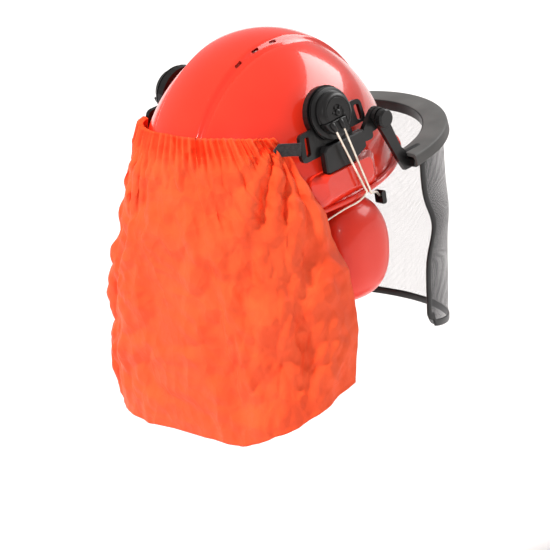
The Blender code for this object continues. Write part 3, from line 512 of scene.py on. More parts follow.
def dome(x, beta, inset=0.0):
    """Points of the dome on the fore-and-aft arc at x; beta runs from the front rim to the back."""
    share = np.sqrt(np.maximum(0.0, 1 - (x / HALF_WIDTH) ** 2))
    y = -(HALF_LENGTH - inset) * share * np.cos(beta)
    z = (HEIGHT - inset) * share * np.sin(beta)
    foot = CREST_FOOT_HALF - 5.0 * smoothstep(-20, -90, y)
    top = CREST_TOP_HALF - 2.0 * smoothstep(-20, -90, y)
    ramp = np.clip((np.abs(x) - top) / (foot - top), 0, 1)
    crest = 1 - (ramp + 0.12 * np.sin(2 * math.pi * ramp) * -1)
    groove = 0.9 * np.exp(-((np.abs(x) - foot - 1.4) / 1.1) ** 2)
    z = z + (CREST_HEIGHT * np.clip(crest, 0, 1) - groove) * smoothstep(20, 90, z)
    points = np.stack([x * (HALF_WIDTH - inset) / HALF_WIDTH, y, z], axis=-1)
    # A band along the rim stands a little proud, and rises towards the front.
    edge = 23 + 15 * smoothstep(12, -50, points[..., 1])
    proud = 1.5 * (1 - smoothstep(edge, edge + 3.0, z)) * (1.0 if inset == 0 else 0.0)
    return points + level_normals(points) * proud[..., None]


def rim_ring(ring, outward, height):
    share = np.maximum(0.0, 1 - (ring[:, 0] / PEAK_HALF_WIDTH) ** 2) ** 1.2
    peak = PEAK_LENGTH * share * (ring[:, 1] < 0) * smoothstep(-1.0, 4.0, outward)
    moved = ring + level_normals(ring) * outward
    moved[:, 1] -= peak
    moved[:, 2] = height
    return moved


def make_shell():
    turns = np.linspace(0, math.pi / 2, 49)
    half = HALF_WIDTH * np.sin(turns)
    crest = np.linspace(CREST_TOP_HALF - 4, CREST_FOOT_HALF + 3, 24)
    half = np.concatenate([half[(half < crest[0] - 1.0)], crest, half[half > crest[-1] + 1.0]])
    columns = np.concatenate([-half[:0:-1], half])
    betas = np.linspace(0, math.pi, 129)
    x, beta = np.meshgrid(columns, betas, indexing="ij")
    layers, faces = [], []
    offset = 0
    loops = []
    for inset in (0.0, WALL):
        grid = dome(x, beta, inset)
        layers.append(grid.reshape(-1, 3))
        part = grid_faces(len(columns), len(betas), offset)
        faces += [face[::-1] for face in part] if inset else part
        front = [offset + i * len(betas) for i in range(len(columns))]
        back = [offset + i * len(betas) + len(betas) - 1 for i in range(len(columns))]
        loops.append(front + back[-2:0:-1])
        offset += grid.shape[0] * grid.shape[1]
    points = np.concatenate(layers)
    base = points[loops[0]]
    rows = [loops[0]]
    profile = ((0.4, 3.2), (1.2, 2.0), (3.2, 2.2), (4.6, 2.4), (5.6, 1.8), (6.0, 0.6), (5.9, -0.9))
    profile += ((5.2, -1.9), (3.6, -2.6), (1.6, -3.6), (0.2, -4.0), (-1.2, -3.9), (-2.2, -3.2))
    for outward, height in profile:
        points = np.concatenate([points, rim_ring(base, outward, height)])
        rows.append(list(range(len(points) - len(base), len(points))))
    rows.append(loops[1])
    for low, high in zip(rows[:-1], rows[1:]):
        for k in range(len(low)):
            m = (k + 1) % len(low)
            faces.append((low[m], low[k], high[k], high[m]))
    return points, faces


def shell_piece():
    points, faces = make_shell()
    shell = mesh_piece("shell_body", points, faces, MATERIALS["shell_red"], 55)
    bpy.context.view_layer.update()
    weld = shell.modifiers.new("weld", "WELD")
    weld.merge_threshold = 0.00002
    applied(shell)
    cutters = []
    middle = (CREST_TOP_HALF + CREST_FOOT_HALF) / 2
    for side_name, side in SIDES:
        for y in VENT_YS:
            share = math.sqrt(1 - (middle / HALF_WIDTH) ** 2 - (y / HALF_LENGTH) ** 2)
            height = HEIGHT * share + CREST_HEIGHT / 2
            slope = math.degrees(math.atan2(-y / HALF_LENGTH ** 2, height / HEIGHT ** 2))
            long_range, tall_range = (-VENT_LONG / 2, VENT_LONG / 2), (-VENT_TALL / 2, VENT_TALL / 2)
            outline = np.array(box_outline(long_range, tall_range, 0.8, 3))
            turn = math.radians(slope)
            spin = np.array([[math.cos(turn), -math.sin(turn)], [math.sin(turn), math.cos(turn)]])
            outline = outline @ spin.T + (y, height)
            cutters.append(prism("vent", outline, VENT_INNER, VENT_OUTER, side, MATERIALS["shell_red"]))
    cut(shell, *cutters)
    shell.data.set_sharp_from_angle(angle=math.radians(28))
    settle(shell, "root", "shell_red", "shell")
    for side_name, side in SIDES:
        foot = box_outline((SLOT_Y - 44, SLOT_Y + 44), (-2, BOSS_TOP + 1.5), 9)
        face = box_outline((SLOT_Y - 31, SLOT_Y + 31), (11, BOSS_TOP), 7)
        loops = [[(side * 103.0, y, z) for y, z in foot], [(side * 107.0, y, z) for y, z in foot]]
        loops.append([(side * BOSS_OUT, y, z) for y, z in face])
        boss = loft("slot_boss_" + side_name, loops, MATERIALS["shell_red"])
        reach = (BOSS_TOP - SLOT_DEPTH, BOSS_TOP + 8)
        slot = box_outline((SLOT_Y - SLOT_WIDTH / 2, SLOT_Y + SLOT_WIDTH / 2), reach, 0.6, 2)
        low, high = BLADE_OUT - BLADE_SPACE / 2, BLADE_OUT + BLADE_SPACE / 2
        cutter = prism("slot", slot, low, high, side, MATERIALS["shell_red"])
        cut(boss, cutter)
        rounded(boss, 2.6, 5, 25.0)
        settle(boss, "root", "shell_red")


# ---------------------------------------------------------------- neck cape

CAPE_FLAT = (480.0, 312.0)
CAPE_CHANNEL = 19.0
CAPE_HEM_FOLD = 8.0
CAPE_COLUMNS = 241
CAPE_ROWS = 151
CAPE_DRIFT = 12.0
CLOTH_STEPS = 16
CLOTH_CACHE_END = 40
CLOTH_MOST_MOVE = 7.0
CLOTH_MOST_IN = -2.5
CLOTH_MOST_OUT = 4.0
# The cape's plan at shares of its drop: half width, depth, squareness, y of the front edge.
CAPE_PLAN = {
    0.00: (104.0, 118.0, 2.0, 64.0),
    0.10: (110.0, 131.0, 2.1, 56.0),
    0.30: (125.0, 148.0, 2.5, 44.0),
    0.55: (142.0, 151.0, 3.2, 37.0),
    0.80: (149.0, 152.0, 3.7, 42.0),
    1.00: (153.0, 153.0, 4.0, 57.0),
}
# Heights of the top edge and of the hem, from the wearer's right front edge to the left one.
CAPE_TOP = {-1.0: 79.0, -0.6: 87.5, 0.0: 92.0, 0.6: 87.5, 1.0: 79.0}
CAPE_HEM = {-1.0: -163.0, -0.8: -174.0, -0.5: -188.0, -0.2: -203.0, 0.1: -210.0, 0.6: -204.0, 1.0: -186.0}


def table_at(table, value):
    keys = sorted(table)
    rows = np.array([np.atleast_1d(table[k]) for k in keys], float)
    return [np.interp(value, keys, rows[:, k]) for k in range(rows.shape[1])]


def cape_surface(share, drop):
    """The cape's smooth shape: share -1..1 from the right front edge to the left, drop 0..1 to the hem."""
    half_width, depth, square, front = table_at(CAPE_PLAN, drop)
    start = np.arcsin(np.minimum(1.0, front / depth) ** (square / 2))
    angle = start + (math.pi / 2 - start) * (1 - np.abs(share))
    power = 2 / square
    x = np.sign(share) * half_width * np.maximum(np.cos(angle), 0) ** power
    y = depth * np.sin(angle) ** power
    top = table_at(CAPE_TOP, share)[0]
    hem = table_at(CAPE_HEM, share)[0]
    x = x + CAPE_DRIFT * smoothstep(0.1, 1.0, drop)
    return np.stack([x, y, top + (hem - top) * drop], axis=-1)


def surface_normals(points):
    """Outward normals of a grid of points (rows run down, columns from the wearer's right to the left)."""
    down = np.gradient(points, axis=0)
    over = np.gradient(points, axis=1)
    return unit(np.cross(down, over))


def pleats(run, random, spacing, jitter):
    """A row of narrow folds with uneven spacing, from -1 to 1, along run in millimetres."""
    places = [run.min() - spacing]
    while places[-1] < run.max() + spacing:
        places.append(places[-1] + spacing * (1 + jitter * random.uniform(-1, 1)))
    phase = np.interp(run, places, np.arange(len(places)))
    wave = np.cos(2 * math.pi * phase)
    return np.sign(wave) * np.abs(wave) ** 0.8


def cape_folds(flat_x, flat_y, random):
    """How far the cloth stands in or out of its smooth shape before it is let go."""
    width, length = CAPE_FLAT
    narrow = pleats(flat_x, random, 13.0, 0.45)
    middling = pleats(flat_x + 0.12 * flat_y, random, 27.0, 0.4)
    broad = pleats(flat_x - 0.10 * flat_y, random, 88.0, 0.35)
    drop = flat_y / length
    folds = 3.1 * narrow * (1 - smoothstep(0.045, 0.12, drop))
    folds += 1.4 * middling * smoothstep(0.04, 0.10, drop) * (1 - smoothstep(0.16, 0.34, drop))
    folds += 2.0 * broad * smoothstep(0.12, 0.55, drop)
    # Folds that fan out from the two corners where the straps pull.
    for side, strength in ((-1.0, 1.0), (1.0, 0.8)):
        across, below = (flat_x + width / 2) if side < 0 else (width / 2 - flat_x), flat_y
        fan = np.degrees(np.arctan2(across + 6, below + 10))
        reach = np.hypot(across, below)
        window = smoothstep(15, 45, reach) * (1 - smoothstep(90, 230, reach))
        spread = 1 - smoothstep(52, 72, fan)
        folds += strength * 3.4 * np.cos(2 * math.pi * fan / 15.0 + 0.6 * side) * window * spread
    return folds


def facets(flat_x, flat_y, random, spacing, height, stretch=1.0):
    """Flat facets between creases: random heights at scattered points, with flat triangles between."""
    width, length = CAPE_FLAT
    across = np.arange(-width / 2 - spacing, width / 2 + spacing, spacing)
    down = np.arange(-spacing, length + 2 * spacing * stretch, spacing * stretch)
    places, heights = [], []
    for i, y in enumerate(down):
        for x in across + spacing / 2 * (i % 2):
            jitter = random.uniform(-0.42, 0.42, 2) * (spacing, spacing * stretch)
            places.append(Vector((x + jitter[0], y + jitter[1])))
            heights.append(height * random.uniform(-1, 1))
    corners, _, triangles, *_ = delaunay_2d_cdt(places, [], [], 0, 1e-6)
    corners = np.array([tuple(corner) for corner in corners])
    heights = np.array(heights)
    step_x, step_y = flat_x[0, 1] - flat_x[0, 0], flat_y[1, 0] - flat_y[0, 0]
    found = np.zeros_like(flat_x)
    for triangle in triangles:
        a, b, c = corners[list(triangle)]
        ha, hb, hc = heights[list(triangle)]
        low, high = np.min((a, b, c), axis=0), np.max((a, b, c), axis=0)
        first, last = (int((edge[0] - flat_x[0, 0]) / step_x) for edge in (low, high))
        columns = slice(max(0, first), max(0, last + 2))
        rows = slice(max(0, int(low[1] / step_y)), max(0, int(high[1] / step_y) + 2))
        x, y = flat_x[rows, columns], flat_y[rows, columns]
        whole = (b[0] - a[0]) * (c[1] - a[1]) - (c[0] - a[0]) * (b[1] - a[1])
        if not x.size or abs(whole) < 1e-9:
            continue
        share_b = ((x - a[0]) * (c[1] - a[1]) - (c[0] - a[0]) * (y - a[1])) / whole
        share_c = ((b[0] - a[0]) * (y - a[1]) - (x - a[0]) * (b[1] - a[1])) / whole
        inside = (share_b >= -1e-6) & (share_c >= -1e-6) & (share_b + share_c <= 1 + 1e-6)
        level = ha + (hb - ha) * share_b + (hc - ha) * share_c
        found[rows, columns] = np.where(inside, level, found[rows, columns])
    return found


def softened(height, times):
    """A height field with its creases rounded off a little."""
    for _ in range(times):
        wide = np.pad(height, 1, mode="edge")
        height = (wide[:-2, 1:-1] + wide[2:, 1:-1] + wide[1:-1, :-2] + wide[1:-1, 2:] + 4 * height) / 8
    return height


def creases(flat_x, flat_y, random, count=90):
    """Short sharp creases at many angles, as on cloth that was stored folded."""
    width, length = CAPE_FLAT
    height = np.zeros_like(flat_x)
    for _ in range(count):
        x0, y0 = random.uniform(-width / 2, width / 2), random.uniform(30, length)
        angle = random.uniform(-1.4, 1.4)
        long, wide = random.uniform(10, 34), random.uniform(2.0, 5.0)
        deep = random.choice((-1, 1)) * random.uniform(0.3, 0.9)
        along_it = (flat_x - x0) * math.sin(angle) + (flat_y - y0) * math.cos(angle)
        from_it = (flat_x - x0) * math.cos(angle) - (flat_y - y0) * math.sin(angle)
        from_it = from_it + 0.01 * along_it ** 2 * random.uniform(-1, 1)
        height += deep * np.exp(-np.abs(from_it) / wide) * np.exp(-(along_it / long) ** 2)
    return height


def ridges(flat_x, flat_y, random, spacing, height):
    """Shallow cells with crisp ridges between them; each point takes its distance to the nearest centre."""
    width, length = CAPE_FLAT
    x = flat_x + 0.22 * spacing * np.sin(flat_y / spacing * 1.7 + 1.0)
    y = flat_y * 0.78 + 0.22 * spacing * np.sin(flat_x / spacing * 2.1)
    nearest = np.full_like(flat_x, np.inf)
    for row, centre_y in enumerate(np.arange(-spacing, length * 0.78 + spacing, spacing)):
        shift = spacing / 2 * (row % 2)
        for centre_x in np.arange(-width / 2 - spacing, width / 2 + spacing, spacing) + shift:
            at_x, at_y = random.uniform(-0.45, 0.45, 2) * spacing + (centre_x, centre_y)
            nearest = np.minimum(nearest, (x - at_x) ** 2 + (y - at_y) ** 2)
    return height * (np.sqrt(nearest) / spacing - 0.4)


def crumples(flat_x, flat_y, random):
    """The cape's faceted crumples, which leave the gathered channel alone and stay low at the hem."""
    height = facets(flat_x, flat_y, random, 50.0, 6.0, 1.2)
    height += ridges(flat_x, flat_y, random, 46.0, 9.0)
    height += ridges(flat_x, flat_y, random, 25.0, 6.0)
    height += ridges(flat_x, flat_y, random, 12.0, 1.3)
    height += 3.0 * creases(flat_x, flat_y, random)
    height = softened(height, 1)
    calm = 1 - 0.65 * smoothstep(CAPE_FLAT[1] - 45, CAPE_FLAT[1], flat_y)
    calm = calm * (1 - 0.6 * smoothstep(CAPE_FLAT[0] / 2 - 40, CAPE_FLAT[0] / 2, np.abs(flat_x)))
    return height * calm * smoothstep(CAPE_CHANNEL, CAPE_CHANNEL + 22, flat_y)


def simulate_cape(start, flat, weights):
    """Lets the cloth find its shape from its cut size, held at the gathered top."""
    rows, columns = start.shape[:2]
    faces = grid_faces(rows, columns)
    piece = mesh_piece("cape_cloth_run", start.reshape(-1, 3), faces, MATERIALS["cape_orange"])
    piece.shape_key_add(name="Basis")
    key = piece.shape_key_add(name="cut")
    key.data.foreach_set("co", (flat.reshape(-1, 3) * MM).astype(np.float32).ravel())
    group = piece.vertex_groups.new(name="held")
    for i, weight in enumerate(weights.ravel()):
        group.add([i], float(weight), "REPLACE")
    modifier = piece.modifiers.new("cloth", "CLOTH")
    settings = modifier.settings
    settings.quality = 6
    settings.mass = 0.12
    settings.tension_stiffness = 25
    settings.compression_stiffness = 25
    settings.shear_stiffness = 12
    settings.bending_stiffness = 1.6
    settings.air_damping = 3.0
    settings.tension_damping = 12
    settings.compression_damping = 12
    settings.vertex_group_mass = "held"
    settings.pin_stiffness = 6.0
    settings.rest_shape_key = key
    modifier.collision_settings.use_collision = False
    modifier.collision_settings.use_self_collision = False
    modifier.point_cache.frame_start = 1
    modifier.point_cache.frame_end = CLOTH_CACHE_END
    scene = bpy.context.scene
    for step in range(1, CLOTH_STEPS + 1):
        scene.frame_set(step)
    graph = bpy.context.evaluated_depsgraph_get()
    mesh = piece.evaluated_get(graph).to_mesh()
    found = np.zeros(rows * columns * 3, np.float32)
    mesh.vertices.foreach_get("co", found)
    scene.frame_set(1)
    bpy.data.objects.remove(piece, do_unlink=True)
    return found.reshape(rows, columns, 3).astype(float) / MM


def capped(found, start, normals, most):
    """Keeps each point near where it started, and evens out the narrowest folds of the fall."""
    move = found - start
    move = np.stack([softened(move[..., k], 12) for k in range(3)], axis=-1)
    far = np.linalg.norm(move, axis=-1, keepdims=True)
    move = move * np.minimum(1.0, most / np.maximum(far, 1e-9))
    inward = np.sum(move * normals, axis=-1, keepdims=True)
    return start + move + normals * (np.clip(inward, CLOTH_MOST_IN, CLOTH_MOST_OUT) - inward)


def clear_of_shell(cloth):
    """Pushes the cloth back out wherever it has gone in past the shell, its rim band or its rim."""
    x, y, z = cloth[..., 0], cloth[..., 1], cloth[..., 2]
    space = 2.2 + 1.6 * (1 - smoothstep(38, 44, z)) + 4.0 * (1 - smoothstep(5, 11, z))
    share = np.hypot(x / (HALF_WIDTH + space), y / (HALF_LENGTH + space))
    share = share / np.sqrt(1 - (np.clip(z, 0, HEIGHT - 10) / (HEIGHT + 2)) ** 2)
    push = np.where((z > -8) & (share < 1), 1 / np.maximum(share, 0.5), 1.0)
    return np.stack([x * push, y * push, z], axis=-1)


def make_cape():
    random = np.random.default_rng(11)
    width, length = CAPE_FLAT
    share, drop = np.meshgrid(np.linspace(-1, 1, CAPE_COLUMNS), np.linspace(0, 1, CAPE_ROWS))
    flat_x, flat_y = share * width / 2, drop * length
    smooth = cape_surface(share, drop)
    normals = surface_normals(smooth)
    start = smooth + normals * cape_folds(flat_x, flat_y, random)[..., None]
    flat = np.stack([flat_x, np.zeros_like(flat_x), -flat_y], axis=-1)
    cloth = start
    held = 1 - smoothstep(CAPE_CHANNEL - 2, CAPE_CHANNEL + 3, flat_y)
    patches = 0.5 + 0.5 * np.cos(share * 9.0 + 1.0) * np.cos(drop * 7.0 + share * 3)
    weights = np.clip(held + 0.02 + 0.05 * patches, 0, 1)
    cloth = capped(simulate_cape(start, flat, weights), start, normals, CLOTH_MOST_MOVE)
    cloth = cloth + surface_normals(cloth) * crumples(flat_x, flat_y, random)[..., None]
    cloth = clear_of_shell(cloth)
    # The gathered channel and the folded hem are double cloth.
    double = 0.5 * (1 - smoothstep(CAPE_CHANNEL - 1.5, CAPE_CHANNEL, flat_y))
    double += 0.5 * smoothstep(length - CAPE_HEM_FOLD - 0.6, length - CAPE_HEM_FOLD, flat_y)
    cloth = cloth + surface_normals(cloth) * double[..., None]
    uvs = np.stack([flat_x, flat_y], axis=-1).reshape(-1, 2)
    cape = mesh_piece("neck_cape_cloth", cloth.reshape(-1, 3), grid_faces(CAPE_ROWS, CAPE_COLUMNS),
                      MATERIALS["cape_orange"], 80, uvs)
    solidify = cape.modifiers.new("cloth_thickness", "SOLIDIFY")
    solidify.thickness = 0.5 * MM
    solidify.offset = 0.0
    applied(cape)
    settle(cape, "root", "cape_orange", "neck_cape")
    stitching = []
    for place in (CAPE_CHANNEL, length - CAPE_HEM_FOLD):
        stitching.append(stitch_row(cloth, flat_x[0], flat_y[:, 0], place))
    thread = mesh_piece("cape_stitching", *joined_parts(stitching), MATERIALS["thread"], 60)
    settle(thread, "root", "cape_orange")


def joined_parts(parts):
    points, faces = [], []
    for part_points, part_faces in parts:
        offset = sum(len(p) for p in points)
        points.append(np.asarray(part_points, float))
        faces += [tuple(i + offset for i in face) for face in part_faces]
    return np.concatenate(points), faces


def stitch_row(cloth, run, heights, place, pitch=3.2, stitch=2.4, radius=0.45):
    """Short lengths of thread along the cloth at one height of its cut."""
    row = int(np.argmin(np.abs(heights - place)))
    line = cloth[row]
    normal = surface_normals(cloth)[row]
    points, faces = [], []
    for begin in np.arange(run.min() + 2, run.max() - 4, pitch):
        spots = begin + np.linspace(0, stitch, 4)
        centres = np.stack([np.interp(spots, run, line[:, k]) for k in range(3)], axis=1)
        up = np.stack([np.interp(spots, run, normal[:, k]) for k in range(3)], axis=1)
        centres = centres + up * np.array([0.15, 0.45, 0.45, 0.15])[:, None]
        tangent = tangents_of(centres)
        across = unit(np.cross(tangent, up))
        offset = len(points)
        for centre, u, a in zip(centres, unit(up), across):
            turns = np.arange(5) * 2 * math.pi / 5
            points += [centre + radius * (math.cos(t) * u + math.sin(t) * a) for t in turns]
        faces += [tuple(offset + i for i in face) for face in grid_faces(4, 5, wrap_columns=True)]
        faces.append(tuple(offset + i for i in range(5))[::-1])
        faces.append(tuple(offset + i for i in range(15, 20)))
    return points, faces


def make_cape_straps():
    for side_name, side in SIDES:
        route = [(106.8, 51.6, 66.0), (104.0, 55.5, 66.8), (98.5, 60.5, 67.6), (94.0, 65.6, 68.4)]
        route.append((90.5, 71.0, 69.2))
        centres = along([(side * x, y, z) for x, y, z in route], 30)
        tangents = tangents_of(centres)
        up = np.array([0.0, 0.15, 1.0])
        outward = unit(np.cross(tangents, up)) * side
        across = unit(np.cross(outward, tangents))
        taper = np.clip((len(centres) - 0.6 - np.arange(len(centres))) / 6.0, 0.06, 1.0)[:, None]
        strap = ribbon("cape_strap_web_" + side_name, centres, across * taper, outward, 13.0, 1.7,
                       MATERIALS["webbing_black"])
        settle(strap, "root", "webbing_black", "cape_strap_" + side_name)


# ---------------------------------------------------------------- visor

GUARD_WIDTH = 24.0
GUARD_HALF_WIDTH = 129.0
GUARD_END_Y = -75.0
GUARD_FRONT_Y = -206.0
GUARD_END_Z = 17.5
GUARD_FRONT_Z = 21.5
GUARD_SKIRT = 11.5
SCREEN_HALF_WIDTH = 115.0
SCREEN_END_Y = -96.0
SCREEN_FRONT_Y = -202.0
SCREEN_SLOPE = 0.11
SCREEN_CURVE = 2.5
SCREEN_BUMP = 12.0
SCREEN_BUMP_Z = -68.0
SCREEN_BUMP_LENGTH = 24.0
SCREEN_SIDE_BOTTOM = -165.0
SCREEN_FRONT_BOTTOM = -196.0
TRIM_WIDTH = 7.0
TRIM_THICKNESS = 2.6


def guard_height(y):
    return GUARD_END_Z + (GUARD_FRONT_Z - GUARD_END_Z) * (GUARD_END_Y - y) / (GUARD_END_Y - GUARD_FRONT_Y)


def guard_band(name, section, end, material):
    """A section of (outward, up) points swept round the guard, starting an angle in from its ends."""
    loops = []
    for angle in np.linspace(end, math.pi - end, 97):
        loop = []
        for shift, down in section:
            half_width = GUARD_HALF_WIDTH - GUARD_WIDTH + shift
            depth = GUARD_END_Y - GUARD_FRONT_Y - GUARD_WIDTH + shift
            y = GUARD_END_Y - depth * math.sin(angle)
            loop.append((-half_width * math.cos(angle), y, guard_height(y) + down))
        loops.append(loop)
    return loft(name, loops, MATERIALS[material], sharp=32)


def make_guard():
    """The brow guard: a C-shaped band, flat on top, with a skirt outside and a lip inside, its inner face
    painted dark as shade.
    """
    g, low = GUARD_WIDTH, -GUARD_SKIRT
    section = [(1.0, 0.0), (g * 0.4, 0.5), (g * 0.75, 0.3)]
    section += [(g - 2.4 + dx, -2.6 + dz) for dx, dz in arc((0, 0), 2.4, 80, 8, 5)]
    section += [(g + 0.5, -6), (g + 1.0, low + 0.6), (g + 0.7, low), (g - 1.0, low), (g - 1.4, low + 0.8)]
    section += [(g - 2.0, -6), (g - 3.2, -3.4), (g * 0.5, -2.6), (3.2, -2.6), (2.6, -3.4), (2.4, -9.4)]
    section += [(2.0, -10.0), (0.5, -10.0), (0.0, -9.4), (-0.1, -1.2), (0.3, -0.3)]
    guard = guard_band("brow_guard_shell", section, 0.0, "guard_grey")
    settle(guard, "visor", "guard_grey", "brow_guard")
    # The lip's inner face is covered by a thin dark band of painted shade, where the inside of the lip lies
    # in shadow.
    lip_shade_section = [(-0.9, -1.0), (-0.2, -0.5), (-0.2, -10.2), (2.4, -10.3), (2.4, -10.9), (-0.5, -10.9)]
    lip_shade_section.append((-0.9, -10.4))
    lip_shade_band = guard_band("guard_lip_painted_shade", lip_shade_section, 0.03, "trim_grey")
    settle(lip_shade_band, "visor", "trim_grey")
    for side_name, side in SIDES:
        # A black clip shows through a slot near each end of the guard.
        outline = box_outline((-10, 10), (-2.6, 2.6), 1.0)
        centre = np.array([side * (GUARD_HALF_WIDTH - 15.0), GUARD_END_Y - 12.0, 0.0])
        centre[2] = guard_height(centre[1]) + 0.55
        way = unit((side * 0.05, -1.0, (GUARD_FRONT_Z - GUARD_END_Z) / (GUARD_FRONT_Y - GUARD_END_Y) * -1.0))
        across = unit(np.cross(way, (0, 0, 1)))
        up = np.cross(across, way)
        loops = []
        for height in (-1.0, 0.5):
            loops.append([centre + way * a + across * b + up * height for a, b in outline])
        clip = loft("guard_clip_" + side_name, loops, MATERIALS["black_plastic"])
        rounded(clip, 0.5)
        settle(clip, "visor", "black_plastic")


def screen_surface(share, height, out=0.0):
    """Points of the visor surface: share 0..1 runs from the right edge round to the left one."""
    angle = math.pi * share
    half_width = SCREEN_HALF_WIDTH + out
    depth = SCREEN_END_Y - SCREEN_FRONT_Y + out
    x = -half_width * np.cos(angle)
    below = GUARD_FRONT_Z - height
    lean = SCREEN_SLOPE * below * (0.7 + 0.3 * np.sin(angle)) + SCREEN_CURVE * (below / 100) ** 2
    bump = SCREEN_BUMP * np.exp(-((height - SCREEN_BUMP_Z) / SCREEN_BUMP_LENGTH) ** 2)
    y = SCREEN_END_Y - depth * np.sin(angle) + lean - bump * np.abs(np.cos(angle)) ** 6
    return np.stack(np.broadcast_arrays(x, y, height), axis=-1)


def screen_bottom(share):
    bulge = np.sin(math.pi * np.clip(share, 0, 1)) ** 0.8
    corner = np.exp(-np.minimum(share, 1 - share) / 0.012)
    return SCREEN_SIDE_BOTTOM + (SCREEN_FRONT_BOTTOM - SCREEN_SIDE_BOTTOM) * bulge + 9.0 * corner


def screen_top(share):
    y = SCREEN_END_Y - (SCREEN_END_Y - SCREEN_FRONT_Y) * np.sin(math.pi * share)
    return guard_height(y) - 5.0


def make_screen():
    shares = np.linspace(0.004, 0.996, 121)
    rows = np.linspace(0, 1, 61)
    share, row = np.meshgrid(shares, rows)
    top, bottom = screen_top(share), screen_bottom(share) + 1.5
    points = screen_surface(share, top + (bottom - top) * row)
    run = np.concatenate([[0], np.cumsum(np.linalg.norm(np.diff(points[0], axis=0), axis=1))])
    run = run - run[-1] / 2
    uvs = np.stack([np.broadcast_to(run, share.shape), points[..., 2]], axis=-1).reshape(-1, 2)
    screen = mesh_piece("screen_mesh", points.reshape(-1, 3), grid_faces(61, 121), MATERIALS["screen_grey"],
                        80, uvs)
    settle(screen, "visor", "screen_grey", "mesh_screen")
    reach = math.pi * (SCREEN_HALF_WIDTH + SCREEN_END_Y - SCREEN_FRONT_Y) / 2
    half = TRIM_WIDTH / 2 / reach
    stations = []
    drop = screen_bottom(half) + TRIM_WIDTH - screen_top(0)
    for t in np.linspace(0, 1, 40, endpoint=False):
        stations.append((half, screen_top(0) + drop * t, (1, 0)))
    corner = TRIM_WIDTH / 2
    for t in np.linspace(0, 1, 7)[:-1]:
        a = t * math.pi / 2
        height = screen_bottom(half) + corner + 2 * corner * (1 - math.sin(a))
        share_at = half + (1 - math.cos(a)) * 3 * corner / reach
        stations.append((share_at, height, (math.cos(a), math.sin(a))))
    for share_at in np.linspace(half + 3 * corner / reach, 0.5, 60):
        stations.append((share_at, screen_bottom(share_at) + corner, (0, 1)))
    full = stations + [(1 - s, h, (-c, d)) for s, h, (c, d) in stations[-2::-1]]
    section = []
    for a in np.linspace(0, 2 * math.pi, 16, endpoint=False):
        u = bent(math.cos(a), 0.4) / 2
        v = bent(math.sin(a), 0.7) / 2
        section.append((u, v))
    loops = []
    for share_at, height, (c, d) in full:
        loop = []
        for across, out in section:
            s = share_at + across * c * TRIM_WIDTH / reach
            z = height + across * d * TRIM_WIDTH
            loop.append(screen_surface(np.float64(s), np.float64(z), out * TRIM_THICKNESS))
        loops.append(loop)
    trim = loft("screen_trim", loops, MATERIALS["trim_grey"], sharp=60)
    settle(trim, "visor", "trim_grey", "visor_trim")


# ---------------------------------------------------------------- ear muffs

CUP_Y = -6.0
CUP_Z = -57.0
CUP_HALF_LENGTH = 42.0
CUP_HALF_HEIGHT = 52.0
CUP_LOW = 88.0
CUP_HIGH = 121.0
CUP_LEAN = math.radians(6.3)
PIVOT_Z = -22.0
PIVOT_OUT = 96.0
WIRE_OUT = 123.0
WIRE_RADIUS = 1.2


def cup_ring(scale, out, side, inset=0.0, steps=64):
    """The cup's egg outline at one distance out, squarer at the bottom and leaning back."""
    points = []
    for a in 2 * math.pi * np.arange(steps) / steps:
        power = 2 / (2.5 if math.sin(a) < 0 else 2.1)
        y = bent(math.cos(a), power) * (CUP_HALF_LENGTH * scale - inset)
        z = bent(math.sin(a), power) * (CUP_HALF_HEIGHT * scale - inset)
        points.append((
            side * out,
            CUP_Y + y * math.cos(CUP_LEAN) - z * math.sin(CUP_LEAN),
            CUP_Z + y * math.sin(CUP_LEAN) + z * math.cos(CUP_LEAN),
        ))
    return points


def make_cups():
    for side_name, side in SIDES:
        low, high = CUP_LOW, CUP_HIGH
        depth = high - low
        body = "cup_" + side_name
        turns = np.linspace(0, 1.55, 30)
        outer = [(math.cos(a) ** 0.62, low + 5 + (depth - 5) * math.sin(a) ** 1.15) for a in turns]
        edge = ((0.975, 0.0), (0.995, 0.0), (1.0, 0.5), (1.0, 3.0), (0.996, 3.4), (0.988, 3.6), (0.988, 4.2))
        loops = [cup_ring(scale, low + out, side) for scale, out in (*edge, (0.996, 4.5))]
        loops += [cup_ring(scale, out, side) for scale, out in outer]
        loops += [cup_ring(0.001, high, side), cup_ring(0.001, high - 2.4, side)]
        loops += [cup_ring(scale, out - 2.4, side, 2.4 * scale) for scale, out in outer[::-1][2:]]
        loops.append(cup_ring(0.97, low, side, 1.6))
        cup = loft("ear_cup_" + side_name, loops, MATERIALS["cup_red"], closed=True, sharp=50)
        settle(cup, body, "shell_red", "cup_shell_" + side_name)
        a, b = 71.0, 85.0
        sections = []
        for t in np.linspace(0, 2 * math.pi, 30, endpoint=False):
            scale = 0.80 + 0.235 * bent(math.cos(t), 0.8)
            out = (a + b) / 2 + (b - a) / 2 * bent(math.sin(t), 0.75)
            scale += 0.012 * math.exp(-((out - 74.5) / 1.0) ** 2) * -1
            sections.append((scale, out))
        ring = loft("ear_cushion_" + side_name, [cup_ring(s, o, side) for s, o in sections],
                    MATERIALS["cushion_black"], closed=True, sharp=70)
        settle(ring, body, "cushion_black", "cup_cushion_" + side_name)
        rings = ((0.78, 1.0), (0.80, 4.0), (0.78, 9.0), (0.64, 18.0), (0.3, 22.0))
        foam = [cup_ring(scale, low + out, side, steps=48) for scale, out in rings]
        pad = loft("ear_foam_" + side_name, foam, MATERIALS["foam_black"], sharp=60)
        rounded(pad, 2.0)
        settle(pad, body, "foam_black", "cup_foam_" + side_name)


SWIVEL_CENTRE = (6.0, 88.0)
SWIVEL_LEAN = math.radians(12)
LEAN_PIVOT_OUT = 112.0
LEAN_PIVOT_Z = 62.0
LEAN_SHRINK_Y = 0.94
LEAN_SHRINK_Z = 0.92


